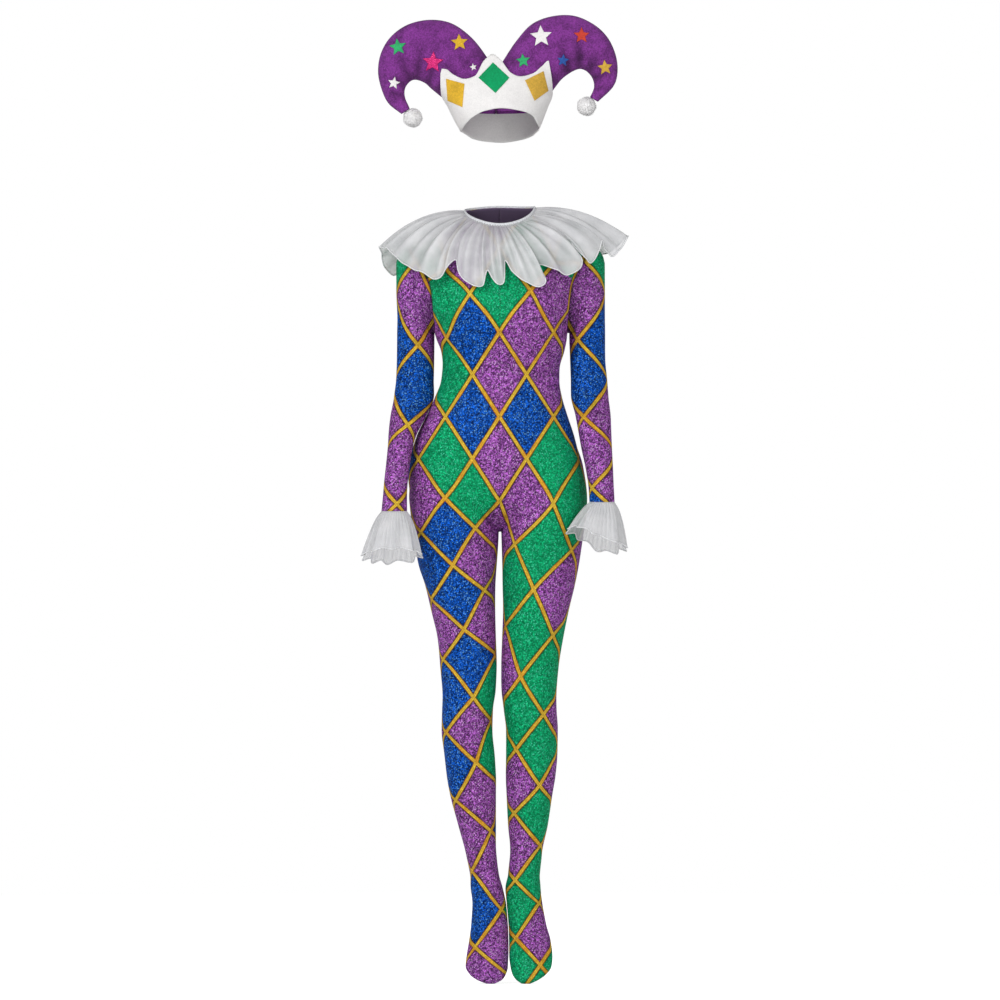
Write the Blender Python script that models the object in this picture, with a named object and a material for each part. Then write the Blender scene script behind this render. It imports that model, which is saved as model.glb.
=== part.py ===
"""Harlequin clown costume: a footed stretch catsuit, a fluted organza collar, two cuff ruffles and a
two-horned felt jester hat, standing as they do when worn, with nobody inside.

Lengths in the tables are millimetres. The front faces -Y, the wearer's right is -X, up is +Z, and the
origin is the middle of the neck opening. Every cloth piece is a closed wall. The suit's skin is where one
smooth field of cross-sections is zero: sections of the torso, two legs and two arms, blended at the
crotch and the armholes, so that panels that meet along a seam share its points.
"""

import math

import bpy
import numpy as np
from mathutils import Vector
from mathutils.bvhtree import BVHTree

MM = 0.001
RIGHT, LEFT = -1.0, 1.0

# Cloth and seams
SUIT_WALL = 1.5
ORGANZA_WALL = 1.0
FELT_WALL = 2.0
APPLIQUE_WALL = 1.5
APPLIQUE_GAP = 0.7
SEAM_SHIFT = 0.2  # each edge of a seam draws back this far, so a seam is 0.4 wide
SEAT_GAP = 0.4  # between a ruffle and the edge it is sewn to

# Heights on the suit
NECKLINE_FRONT_Z, NECKLINE_SIDE_Z, NECKLINE_BACK_Z = -22.0, 1.0, 12.0
ARMPIT_Z = -236.0
ARMHOLE_CENTRE = (4.0, -150.0)  # y and z of the point that the armhole is drawn round
SLEEVE_CAP_END_Z = -264.0
CROTCH_Z = -633.0
WRIST_Z = {RIGHT: -592.0, LEFT: -574.0}
TORSO_BOTTOM_Z = -634.0
ARM_TOP_Z = -102.0
ARM_CAP_RISE = 40.0

# How finely each piece is faceted
HALF_COLUMNS = 6  # from the centre or inner-leg seam to the side seam
NECK_COLUMNS = 2  # of those, how many end on the neckline
ARMHOLE_ROWS = 6  # along half an armhole
SLEEVE_CAP_ROWS = 2

# Torso sections: the half-widths are to each side of centre_x, and side_y is where a section is widest.
TORSO = np.array([
    # z, centre_x, half_width, front_y, side_y, back_y
    (60, 0, 46, -44, 4, 50),
    (20, 0, 58, -48, 4, 55),
    (5, 0, 69, -53, 4, 61),
    (-15, 0, 85, -61, 5, 71),
    (-40, 0, 120, -73, 7, 82),
    (-60, 0, 154, -83, 7, 88),
    (-85, 0, 168, -93, 6, 93),
    (-120, 0, 164, -107, 4, 97),
    (-160, 0, 153, -119, 0, 97),
    (-200, 1, 143, -124, -4, 94),
    (-236, 2, 133, -118, -6, 88),
    (-250, 3.5, 130, -113, -6, 84),
    (-272, 5.5, 123.5, -105, -6, 79),
    (-306, 2.2, 117.3, -96, -6, 72),
    (-332, 0.5, 118.5, -92, -5, 70),
    (-364, -3, 127, -92, -4, 74),
    (-400, -5.8, 140.5, -95, -2, 86),
    (-440, -9, 157, -98, 2, 100),
    (-487, -10.5, 170, -99, 6, 114),
    (-530, -6, 176, -96, 8, 120),
    (-570, -3, 172, -84, 8, 106),
    (-592, -2, 140, -70, 8, 88),
    (-608, -1, 105, -56, 7, 70),
    (-620, 0, 72, -40, 6, 50),
    (-628, 0, 42, -24, 5, 30),
    (-634, 0, 6, -2, 4, 10),
])
TORSO_SQUARENESS = 2.3

# Leg and foot sections. The feet point down, so the last rows run from ankle to toes.
LEGS = np.array([
    # z, right_x, right_half, left_x, left_half, front_y, side_y, back_y
    (-440, -84, 60, 84, 60, -70, 5, 80),
    (-500, -90, 80, 88, 78, -88, 8, 104),
    (-560, -93.5, 87, 90.5, 84, -93, 8, 112),
    (-600, -92, 87, 89, 84, -93, 6, 106),
    (-640, -89.5, 84.5, 86, 81, -91, 4, 98),
    (-700, -85.5, 77.5, 82, 76, -86, 2, 90),
    (-740, -80, 70, 78.5, 71.5, -82, 0, 84),
    (-790, -74.5, 63.5, 73.5, 64.5, -76, -2, 76),
    (-850, -67, 57.5, 66, 60, -68, -4, 66),
    (-900, -64, 56, 61, 57, -63, -4, 60),
    (-950, -63, 52.5, 59, 54.5, -60, -2, 55),
    (-990, -65, 51, 60.5, 53, -57, 0, 52),
    (-1030, -66, 51, 64, 52, -52, 4, 57),
    (-1080, -61, 50.5, 63.5, 51.5, -44, 8, 66),
    (-1120, -57.5, 49.5, 61.5, 50, -38, 12, 69),
    (-1160, -54, 46, 59, 46, -33, 14, 68),
    (-1220, -46, 38, 56, 40, -24, 18, 62),
    (-1280, -37.5, 30.5, 52, 32, -16, 22, 58),
    (-1320, -31, 29, 48, 32, -13, 24, 58),
    (-1345, -28, 31, 47, 34.5, -18, 22, 62),
    (-1380, -21.5, 34, 50.5, 35, -31, 12, 66),
    (-1400, -21, 35.5, 53, 36, -41, 2, 60),
    (-1420, -21, 37, 56, 37, -52, -8, 42),
    (-1450, -22.5, 39.5, 61, 40.5, -68, -26, 12),
    (-1480, -25, 42, 63, 42, -84, -46, -12),
    (-1500, -26.5, 43, 62.5, 41.5, -93, -62, -30),
    (-1515, -26, 40.5, 60, 38, -99, -74, -46),
    (-1526, -24, 33, 57, 30, -101, -82, -60),
    (-1533, -23, 20, 54, 18, -96, -86, -76),
])
LEG_SQUARENESS = 2.15

# Arm sections. The arms hang beside the body and the forearms lean forward.
ARMS = np.array([
    # z, right_x, right_half, left_x, left_half, side_y, half_depth
    (-102, -172, 36, 176, 34, 8, 43),
    (-150, -173, 34.5, 178.5, 31.5, 8, 41),
    (-200, -170.5, 35, 177, 33, 9, 40),
    (-240, -170, 36, 174.5, 36, 10, 39),
    (-290, -170.5, 36, 175.5, 35.3, 9, 38),
    (-330, -171.5, 36.5, 178, 36.5, 6, 38),
    (-364, -174, 38, 181, 36, -5, 38),
    (-400, -183.5, 35, 188, 33, -22, 37),
    (-440, -194.5, 28.2, 192, 30.5, -38, 34),
    (-465, -199, 25, 195, 28.5, -46, 31),
    (-508, -205.3, 23, 199.5, 26, -57, 28),
    (-545, -209.5, 22.5, 202.5, 24.5, -66, 26),
    (-600, -211, 26, 204.5, 25, -78, 27),
])

# How far outside the armpit the armhole seam lies, by its height above the armpit
ARMHOLE = np.array([
    # height, outward
    (-60, 0),
    (0, 0),
    (36, 3.5),
    (88, 9),
    (131, 26),
    (174, 52),
    (210, 80),
])

# Rows of the panels below the armpit, from the armpit to the crotch and from the crotch to the toes
TORSO_ROWS_Z = (-236, -264, -300, -340, -385, -430, -480, -530, -575, -605, -623, -633)
LEG_ROWS_Z = (-633, -675, -740, -810, -880, -950, -1020, -1090, -1160, -1235, -1305, -1350,
              -1385, -1412, -1450, -1485, -1510, -1526, -1533)

SLEEVE_ROWS_Z = (-264, -310, -350, -380, -410, -445, -490, -540)

# The collar: an elastic band round the neck and a fluted strip sewn to it
BAND_HEIGHT, BAND_DEPTH = 8.0, 3.2
BAND_EASE = 0.8  # more room at the band's lower edge, where the suit spreads under it
BAND_STEPS = 32
COLLAR_REACH_SIDE, COLLAR_REACH_FRONT, COLLAR_REACH_BACK = 246.0, 150.0, 152.0
COLLAR_HEM_SIDE_Z, COLLAR_HEM_FRONT_Z, COLLAR_HEM_BACK_Z = -56.0, -142.0, -120.0
COLLAR_LIFT = 17.0  # how far the strip bows up between the neck and its hem
COLLAR_CLEARANCE = 5.0
COLLAR_ROWS = 3
LOBE_STEPS = (0.0, 0.15, 0.38, 0.62, 0.85)
# Notches between the collar's lobes, by angle from the wearer's left round the front to the right and on
# round the back
COLLAR_NOTCHES = np.array([
    # angle, rise of the hem, draw towards the neck
    (4, 26, 26),
    (30, 44, 40),
    (53, 46, 44),
    (72.5, 36, 36),
    (87, 46, 42),
    (97, 28, 30),
    (111, 40, 38),
    (131, 12, 16),
    (157, 10, 16),
    (178, 30, 30),
    (200, 36, 30),
    (224, 40, 34),
    (247, 38, 34),
    (268, 42, 34),
    (290, 36, 32),
    (313, 42, 34),
    (337, 36, 30),
])

# The cuff ruffles: bell-shaped, square to the forearm at the hem
CUFF_PROFILE = np.array([
    # along, half_width
    (0, 26),
    (0.16, 36),
    (0.42, 46),
    (0.7, 54),
    (1, 61),
])
CUFF_DEPTH_SHARE = 0.82
CUFF_LENGTH = {RIGHT: 88.0, LEFT: 86.0}
CUFF_DRIFT = {RIGHT: (-5.0, -24.0), LEFT: (-11.0, -24.0)}  # x and y from wrist to hem
CUFF_HEM_TILT = {RIGHT: (0.02, 0.27), LEFT: (-0.07, 0.27)}  # rise of the hem per mm outward and forward
CUFF_FLUTES = 9
CUFF_FLUTE_DEPTH = 3.5
CUFF_COLUMNS = 30
CUFF_ROWS = 2

# The hat's crown: sections of a band that flares upwards and flattens towards its points
CROWN = np.array([
    # z, right_x, left_x, front_depth, back_depth
    (140, -70, 70, 98, 101),
    (166, -79, 77, 97, 100),
    (186, -90, 85, 94, 97),
    (215, -104.5, 96, 88, 91),
    (242, -118, 105.5, 79, 81),
    (262, -119, 104.5, 71, 73),
    (278, -119, 102.5, 64, 65),
    (292, -116, 100, 57, 58),
    (307, -112, 97.5, 50, 51),
    (322, -108, 95, 44, 45),
])
CROWN_TOP = np.array([
    # x, z of the pointed edge
    (-121, 285),
    (-116, 291),
    (-108, 290),
    (-93, 279),
    (-70, 270),
    (-50, 276),
    (-32, 307),
    (-15, 320),
    (2, 308),
    (22, 282),
    (40, 275),
    (65, 281),
    (84, 296),
    (97, 307),
    (103, 300),
])
CROWN_BOTTOM = np.array([
    # x, front_z, back_z
    (-90, 166, 166),
    (-72, 168, 160),
    (-55, 195, 155),
    (-30, 207, 150),
    (0, 211, 148),
    (30, 209, 150),
    (55, 199, 155),
    (72, 184, 160),
    (90, 168, 168),
])
CROWN_ROWS = 3
CROWN_OVER_HORN = 2.3  # the crown's inner face clears the horns by this much

# Horns of the hat: each row runs from the concave edge to the convex edge. open_share is how much of the
# depth is still there at the convex edge, where the two horns join down the middle of the hat.
HORNS = {
    RIGHT: np.array([
        # concave_x, concave_z, convex_x, convex_z, half_depth, open_share
        (-87, 206, -8, 206, 84, 1.0),
        (-103, 228, -8, 248, 72, 0.78),
        (-117, 236, -8, 284, 57, 0.3),
        (-126, 243, -25, 314, 46, 0),
        (-138, 253, -56, 354, 38, 0),
        (-149, 263, -96, 383, 34, 0),
        (-162, 269, -140, 390.5, 31, 0),
        (-173, 270, -184, 381, 28.5, 0),
        (-182, 265, -218, 357, 26, 0),
        (-189, 255, -238, 324, 24, 0),
        (-191, 244, -244, 287, 21, 0),
        (-189, 232, -237, 252, 17.5, 0),
        (-184, 221, -223, 223, 14, 0),
        (-180.5, 213, -197, 202, 9.5, 0),
    ]),
    LEFT: np.array([
        (82, 206, -8, 206, 84, 1.0),
        (93, 228, -8, 248, 72, 0.78),
        (102, 243, -8, 284, 57, 0.3),
        (111, 256, 9, 313, 46, 0),
        (122, 270, 34, 350, 38, 0),
        (134, 280, 64, 382, 34, 0),
        (147, 288, 104, 397.5, 31, 0),
        (160, 292, 148, 398.5, 28.5, 0),
        (172, 288, 188, 381, 26, 0),
        (182, 278, 216, 354, 24, 0),
        (187, 267, 232, 318, 21, 0),
        (188, 256, 235, 284, 17.5, 0),
        (185, 246, 226, 256, 14, 0),
        (180, 236, 196, 226.5, 9.5, 0),
    ]),
}
HORN_COLUMNS = 4
POMPON_RADIUS = 19.5
POMPONS = {RIGHT: (-174.4, 194.2), LEFT: (173.2, 217.2)}

CROWN_DIAMONDS = {
    # top, outer, bottom and inner corner as x, z
    "hat_diamond_centre": ((-14, 303), (19, 272), (-9, 241), (-43, 272)),
    "hat_diamond_right": ((-108, 271), (-71, 260), (-75, 213), (-105, 227)),
    "hat_diamond_left": ((87, 286), (97, 247), (69, 226), (50, 267)),
}
STARS = (
    # name, x, z, outer radius, turn in degrees, colour
    ("hat_star_right_green", -204, 335, 18, 8, (0.02, 0.42, 0.20)),
    ("hat_star_right_magenta", -134, 304, 22, -4, (0.65, 0.02, 0.22)),
    ("hat_star_right_gold", -81, 344, 18, 4, (0.80, 0.47, 0.03)),
    ("hat_star_right_white", -212, 263, 13, -10, (0.85, 0.85, 0.85)),
    ("hat_star_right_small_white", -53, 294, 8, 12, (0.85, 0.85, 0.85)),
    ("hat_star_left_white", 82, 356, 23, 3, (0.85, 0.85, 0.85)),
    ("hat_star_left_orange", 163, 358, 17, 0, (0.70, 0.09, 0.03)),
    ("hat_star_left_green", 46, 307, 15, 6, (0.02, 0.42, 0.20)),
    ("hat_star_left_blue", 126, 308, 13, -6, (0.03, 0.15, 0.60)),
    ("hat_star_left_gold", 210, 294, 16, 6, (0.80, 0.47, 0.03)),
)
STAR_INNER_SHARE = 0.46

COLOURS = {
    "glitter": (0.13, 0.015, 0.20),
    "organza": (0.80, 0.81, 0.84),
    "purple_felt": (0.16, 0.025, 0.25),
    "white_felt": (0.85, 0.85, 0.87),
    "gold_felt": (0.75, 0.43, 0.03),
    "green_felt": (0.01, 0.33, 0.15),
    "pompon": (0.86, 0.86, 0.87),
}


# ---------------------------------------------------------------- reading tables


def smooth_rows(table, key):
    """Every column of a table after the first, at each key, by cubics that never overshoot a row."""
    rows = table[np.argsort(table[:, 0])]
    x, y = rows[:, 0], rows[:, 1:]
    step = np.diff(x)[:, None]
    slope = np.diff(y, axis=0) / step
    both = slope[:-1] * slope[1:]
    total = slope[:-1] + slope[1:]
    bend = np.where(both > 0, 2 * both / np.where(both > 0, total, 1.0), 0.0)
    tangent = np.vstack([slope[:1], bend, slope[-1:]])
    key = np.clip(key, x[0], x[-1])
    i = np.clip(np.searchsorted(x, key, side="right") - 1, 0, len(x) - 2)
    t = ((key - x[i]) / step[i, 0])[..., None]
    h = step[i]
    return (
        (2 * t**3 - 3 * t**2 + 1) * y[i]
        + (t**3 - 2 * t**2 + t) * h * tangent[i]
        + (3 * t**2 - 2 * t**3) * y[i + 1]
        + (t**3 - t**2) * h * tangent[i + 1]
    )


def ease(value, start, end):
    """0 before start, 1 after end, and a smooth step between."""
    t = np.clip((value - start) / (end - start), 0, 1)
    return t * t * (3 - 2 * t)


# ---------------------------------------------------------------- the suit's field


def oval_field(dx, half_width, dy, front, back, power):
    """Roughly the distance outside an oval whose front and back halves differ in depth."""
    depth = np.where(dy < 0, front, back)
    norm = (np.abs(dx / half_width) ** power + np.abs(dy / depth) ** power) ** (1 / power)
    return (norm - 1) * np.minimum(half_width, (front + back) / 2)


def torso_field(p):
    x, half, front, side, back = np.moveaxis(smooth_rows(TORSO, p[..., 2]), -1, 0)
    field = oval_field(
        p[..., 0] - x, half, p[..., 1] - side, side - front, back - side, TORSO_SQUARENESS
    )
    return np.maximum(field, TORSO_BOTTOM_Z - p[..., 2])


def leg_row(side, z):
    """Centre x, half width, front, side and back y of a leg at height z."""
    c = smooth_rows(LEGS, z)
    first = 0 if side == RIGHT else 2
    return c[..., first], c[..., first + 1], c[..., 4], c[..., 5], c[..., 6]


def leg_field(side, p):
    x, half, front, middle, back = leg_row(side, p[..., 2])
    field = oval_field(
        p[..., 0] - x, half, p[..., 1] - middle, middle - front, back - middle, LEG_SQUARENESS
    )
    return np.maximum(field, p[..., 2] - LEGS[0, 0])


def arm_row(side, z):
    """Centre x, half width, centre y and half depth of an arm at height z."""
    c = smooth_rows(ARMS, z)
    first = 0 if side == RIGHT else 2
    return c[..., first], c[..., first + 1], c[..., 4], c[..., 5]


def arm_field(side, p):
    """An arm, closed above by a rounded shoulder cap."""
    x, half, y, depth = arm_row(side, np.minimum(p[..., 2], ARM_TOP_Z))
    above = np.maximum(p[..., 2] - ARM_TOP_Z, 0) / ARM_CAP_RISE
    norm = np.sqrt(((p[..., 0] - x) / half) ** 2 + ((p[..., 1] - y) / depth) ** 2 + above**2)
    return (norm - 1) * half


def blend(a, b, width):
    """The union of two fields, filled smoothly over this width where they meet."""
    width = np.maximum(width, 1e-3)
    h = np.maximum(width - np.abs(a - b), 0) / width
    return np.minimum(a, b) - h * h * width / 4


def lower_field(p):
    """Torso and both legs, filled in at the crotch."""
    width = 22 * np.exp(-((p[..., 0] / 60) ** 2)) * ease(p[..., 2], CROTCH_Z, CROTCH_Z + 110)
    legs = blend(leg_field(RIGHT, p), leg_field(LEFT, p), width)
    return blend(torso_field(p), legs, width)


def upper_field(p):
    """Torso and both arms, filled in round the armholes."""
    width = 30 * ease(p[..., 2], ARMPIT_Z + 8, ARMPIT_Z + 75)
    arms = np.minimum(arm_field(RIGHT, p), arm_field(LEFT, p))
    return blend(torso_field(p), arms, width)


def sleeve_field(side, p):
    """One arm, with the torso blended in above the armpit only."""
    width = 30 * ease(p[..., 2], ARMPIT_Z + 8, ARMPIT_Z + 75)
    fading = 80 * ease(-p[..., 2], -(ARMPIT_Z + 70), -(ARMPIT_Z + 20))
    return blend(torso_field(p) + fading, arm_field(side, p), width)


def first_crossing(field, start, direction, reach):
    """The points where rays from inside first leave the field."""
    steps = np.linspace(0, reach, 90)
    shape = (len(steps),) + (1,) * start[..., :1].ndim
    along = start[None] + steps.reshape(shape) * direction[None]
    outside = field(along) > 0
    outside[0] = False
    hit = np.maximum(np.argmax(outside, axis=0), 1)
    low, high = steps[hit - 1], steps[hit]
    for _ in range(24):
        middle = (low + high) / 2
        out = field(start + middle[..., None] * direction) > 0
        high = np.where(out, middle, high)
        low = np.where(out, low, middle)
    return start + ((low + high) / 2)[..., None] * direction


def gradient(field, p):
    """Unit vectors that point straight out of the field's surface."""
    step = 0.5
    parts = []
    for axis in range(3):
        move = np.zeros(3)
        move[axis] = step
        parts.append(field(p + move) - field(p - move))
    n = np.stack(parts, axis=-1)
    return n / np.maximum(np.linalg.norm(n, axis=-1, keepdims=True), 1e-9)


# ---------------------------------------------------------------- curves and grids


def unit(v):
    return v / np.maximum(np.linalg.norm(v, axis=-1, keepdims=True), 1e-9)


def resample(points, count):
    """count + 1 points at even distances along a line of points."""
    run = np.concatenate([[0], np.cumsum(np.linalg.norm(np.diff(points, axis=0), axis=1))])
    at = np.linspace(0, run[-1], count + 1)
    return np.stack([np.interp(at, run, points[:, k]) for k in range(3)], axis=1)


def half_section(side, facing, z):
    """One row of a panel at height z, from the centre or inner-leg seam to the side seam.

    facing is -1 for a front panel and 1 for a back panel.
    """
    below = z < CROTCH_Z - 0.5
    leg_x, _, _, leg_y, _ = leg_row(side, np.array(float(z)))
    torso_x, half, _, torso_y, _ = smooth_rows(TORSO, np.array(float(z)))
    share = float(ease(np.array(-float(z)), 500, 560))
    axis_x = share * leg_x + (1 - share) * (torso_x + side * 0.5 * half)
    axis_y = share * leg_y + (1 - share) * torso_y
    angle = np.linspace(0, math.pi, 361)
    direction = np.stack(
        [side * np.cos(angle), facing * np.sin(angle), np.zeros_like(angle)], axis=1
    )
    start = np.broadcast_to([float(axis_x), float(axis_y), float(z)], direction.shape)
    field = (lambda p: leg_field(side, p)) if below else lower_field
    line = first_crossing(field, start, direction, 420)
    if not below:
        inside = side * line[:, 0]
        cut = int(np.argmax(inside <= 0)) if (inside <= 0).any() else len(line) - 1
        before, after = line[cut - 1], line[cut]
        share = before[0] / (before[0] - after[0]) if before[0] != after[0] else 0.0
        edge = before + share * (after - before)
        edge[0] = 0.0
        line = np.vstack([line[:cut], edge])
    return resample(line[::-1], HALF_COLUMNS)


def armhole_x(side, z):
    """Where the armhole seam lies at height z."""
    x, half = smooth_rows(TORSO, np.array(ARMPIT_Z))[:2]
    outward = smooth_rows(ARMHOLE, z - ARMPIT_Z)[..., 0]
    return x + side * (half + outward)


def armhole_line(side, facing):
    """Half the armhole seam, from the armpit up the front or back to the shoulder."""
    angle = np.linspace(0, math.pi, 241)
    steps = np.linspace(0, 190, 381)
    y = ARMHOLE_CENTRE[0] + facing * steps[:, None] * np.sin(angle)
    z = ARMHOLE_CENTRE[1] - steps[:, None] * np.cos(angle)
    points = np.stack([armhole_x(side, z), y, z], axis=-1)
    outside = upper_field(points) > 0
    hit = np.maximum(np.argmax(outside, axis=0), 1)
    columns = np.arange(len(angle))
    line = points[hit, columns]
    armpit = half_section(side, facing, ARMPIT_Z)[-1]
    line[0] = armpit
    keep = line[:, 2] > ARMPIT_Z + 1
    return resample(np.vstack([armpit, line[keep]]), ARMHOLE_ROWS)


def neckline(angle):
    """Points of the suit's neckline, by angle from the wearer's left round the front."""
    front, side_y = np.sin(angle) > 0, 4.0
    low = np.where(front, NECKLINE_FRONT_Z, NECKLINE_BACK_Z)
    z = NECKLINE_SIDE_Z + (low - NECKLINE_SIDE_Z) * np.abs(np.sin(angle)) ** 1.5
    start = np.stack([np.zeros_like(angle), np.full_like(angle, side_y), z], axis=-1)
    direction = np.stack([np.cos(angle), -np.sin(angle), np.zeros_like(angle)], axis=-1)
    return first_crossing(torso_field, start, direction, 200)


def onto_body(points):
    """Points pushed along rays from inside the chest onto the suit's skin."""
    start = np.stack(
        [0.6 * points[..., 0], np.full(points.shape[:-1], 4.0), np.minimum(points[..., 2], -95)],
        axis=-1,
    )
    return first_crossing(upper_field, start, unit(points - start), 260)


def chest_grid(side, facing):
    """Rows of a panel from the armpit up to the neckline and shoulder seam."""
    u = np.linspace(0, 1, HALF_COLUMNS + 1)
    v = np.linspace(0, 1, ARMHOLE_ROWS + 1)
    bottom = half_section(side, facing, ARMPIT_Z)
    outer = armhole_line(side, facing)
    quarter = np.linspace(math.pi / 2, 0 if side == LEFT else math.pi, NECK_COLUMNS + 1)
    neck = neckline(-facing * quarter)
    seam = onto_body(np.linspace(neck[-1], outer[-1], HALF_COLUMNS - NECK_COLUMNS + 1))
    seam[0], seam[-1] = neck[-1], outer[-1]
    top = np.vstack([neck, seam[1:]])
    z = np.linspace(ARMPIT_Z, neck[0, 2], ARMHOLE_ROWS + 1)
    start = np.stack([np.zeros_like(z), np.full_like(z, 4.0), z], axis=-1)
    centre = first_crossing(upper_field, start, np.array([0.0, facing, 0.0]) + 0 * start, 200)
    centre[0], centre[-1] = bottom[0], neck[0]
    a, b = u[None, :, None], v[:, None, None]
    grid = (1 - b) * bottom[None] + b * top[None] + (1 - a) * centre[:, None] + a * outer[:, None]
    grid = grid - (
        (1 - a) * (1 - b) * bottom[0] + a * (1 - b) * bottom[-1] + (1 - a) * b * top[0] + a * b * top[-1]
    )
    skin = onto_body(grid)
    skin[0], skin[-1], skin[:, 0], skin[:, -1] = bottom, top, centre, outer
    return skin


def draw_back(grid, rows=(True, True), columns=(True, True)):
    """The grid with its seam edges drawn back, so that neighbours don't touch."""
    out = grid.copy()
    if columns[0]:
        out[:, 0] += SEAM_SHIFT * unit(grid[:, 1] - grid[:, 0])
    if columns[1]:
        out[:, -1] += SEAM_SHIFT * unit(grid[:, -2] - grid[:, -1])
    if rows[0]:
        out[0] += SEAM_SHIFT * unit(grid[1] - grid[0])
    if rows[1]:
        out[-1] += SEAM_SHIFT * unit(grid[-2] - grid[-1])
    return out


def panel_grids(side, facing):
    """The outer and inner faces of one of the suit's four body panels, from toes to shoulder."""
    legs = np.array([half_section(side, facing, z) for z in LEG_ROWS_Z[:0:-1]])
    crotch_up = np.array([half_section(side, facing, z) for z in TORSO_ROWS_Z[::-1]])
    chest = chest_grid(side, facing)
    outer = np.concatenate([legs, crotch_up, chest[1:]])
    normal = np.concatenate([
        gradient(lambda p: leg_field(side, p), legs),
        gradient(lower_field, crotch_up[:-1]),
        gradient(upper_field, np.concatenate([crotch_up[-1:], chest[1:]])),
    ])
    inner = outer - SUIT_WALL * normal
    return draw_back(outer, rows=(True, False)), draw_back(inner, rows=(True, False))


def sleeve_grids(side):
    """The outer and inner faces of a sleeve, from the armhole to the wrist, closed round the arm."""
    front, back = armhole_line(side, -1), armhole_line(side, 1)
    top = np.vstack([front, back[-2:0:-1]])
    count = len(top)
    angle = 2 * math.pi * np.arange(count) / count
    turn = np.stack([-side * np.cos(angle), -np.sin(angle), np.zeros(count)], axis=1)

    def ring(z):
        x, half, y, depth = (float(v) for v in arm_row(side, np.array(float(z))))
        return np.array([x, y, z]) + turn * np.array([half, depth, 0])

    below = ring(SLEEVE_CAP_END_Z)
    rows = [top]
    for k in range(1, SLEEVE_CAP_ROWS + 1):
        share = k / (SLEEVE_CAP_ROWS + 1)
        target = (1 - share) * top + share * below
        z = np.minimum(target[:, 2], -115)
        x, _, y, _ = arm_row(side, z)
        start = np.stack([x, y, z], axis=1)
        rows.append(
            first_crossing(lambda p: sleeve_field(side, p), start, unit(target - start), 120)
        )
    rows += [ring(z) for z in SLEEVE_ROWS_Z + (WRIST_Z[side],)]
    outer = np.array(rows)
    normal = np.concatenate([
        gradient(upper_field, outer[:1]),
        gradient(lambda p: sleeve_field(side, p), outer[1:]),
    ])
    inner = outer - SUIT_WALL * normal
    keep = (False, False)
    return draw_back(outer, (True, False), keep), draw_back(inner, (True, False), keep)


# ---------------------------------------------------------------- collar and cuffs


def collar_rows(angle, along, lift):
    """Points of the collar's strip, by angle round the neck and by share of the way to the hem."""
    notches = COLLAR_NOTCHES
    turn = np.degrees(angle) % 360
    edge = np.concatenate([notches[:, 0], notches[:1, 0] + 360])
    turn = np.where(turn < edge[0], turn + 360, turn)
    k = np.clip(np.searchsorted(edge, turn, side="right") - 1, 0, len(notches) - 1)
    inside = (turn - edge[k]) / (edge[k + 1] - edge[k])
    crest = np.sqrt(np.abs(np.sin(math.pi * inside)))
    following = (k + 1) % len(notches)
    near = ease(inside, 0.0, 1.0)
    rise = (1 - near) * notches[k, 1] + near * notches[following, 1]
    draw = (1 - near) * notches[k, 2] + near * notches[following, 2]
    front = np.sin(angle) > 0
    share = np.abs(np.sin(angle)) ** 1.4
    hem_z = np.where(front, COLLAR_HEM_FRONT_Z, COLLAR_HEM_BACK_Z)
    hem_z = COLLAR_HEM_SIDE_Z + (hem_z - COLLAR_HEM_SIDE_Z) * share + rise * (1 - crest)
    reach_y = np.where(front, COLLAR_REACH_FRONT, COLLAR_REACH_BACK) - draw * (1 - crest)
    reach_x = COLLAR_REACH_SIDE - draw * (1 - crest)
    hem = np.stack([reach_x * np.cos(angle), 4 - reach_y * np.sin(angle), hem_z], axis=-1)
    _, band = band_rings(angle)
    out = np.stack([np.cos(angle), -np.sin(angle), np.zeros_like(angle)], axis=-1)
    neck = 0.7 * band[0] + 0.3 * band[1] + 2 * SEAT_GAP * out
    s = along[:, None, None]
    bow = COLLAR_LIFT * 4 * s * (1 - s) + lift
    steep = share[:, None]
    normal = unit(np.array([0.0, 0.0, 1.0]) * (1.2 - steep) + out * (0.3 + steep))
    points = (1 - s) * neck + s * hem + bow * normal
    for _ in range(3):
        close = np.maximum(COLLAR_CLEARANCE * np.minimum(4 * s[..., 0], 1) - upper_field(points), 0)
        points = points + close[..., None] * gradient(upper_field, points) * (s > 0)
    return points


def band_ring(angle, outward, upward):
    """A ring that follows the suit's neckline, moved outward and upward from its edge."""
    edge = neckline(angle)
    out = np.stack([np.cos(angle), -np.sin(angle), np.zeros_like(angle)], axis=-1)
    return edge + outward * out + np.array([0, 0, upward])


def band_rings(angle):
    """The lower and upper rings of the neck band's inner face, and of its outer face."""
    low, high = -BAND_HEIGHT / 2, BAND_HEIGHT / 2
    under = np.full((len(angle), 1), SEAT_GAP)
    for _ in range(8):
        near = torso_field(band_ring(angle, under, low))
        under = under + np.maximum(SEAT_GAP - near, 0)[:, None]
    under = under + BAND_EASE
    inner = np.array([band_ring(angle, under, low), band_ring(angle, SEAT_GAP, high)])
    outer = np.array([
        band_ring(angle, under + BAND_DEPTH, low),
        band_ring(angle, SEAT_GAP + BAND_DEPTH, high),
    ])
    return inner, outer


def collar_angles():
    """Angles round the collar that catch every notch and the round of every lobe."""
    edge = np.append(COLLAR_NOTCHES[:, 0], COLLAR_NOTCHES[0, 0] + 360)
    found = [start + (end - start) * t for start, end in zip(edge[:-1], edge[1:]) for t in LOBE_STEPS]
    return np.radians(np.array(found))


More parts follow.
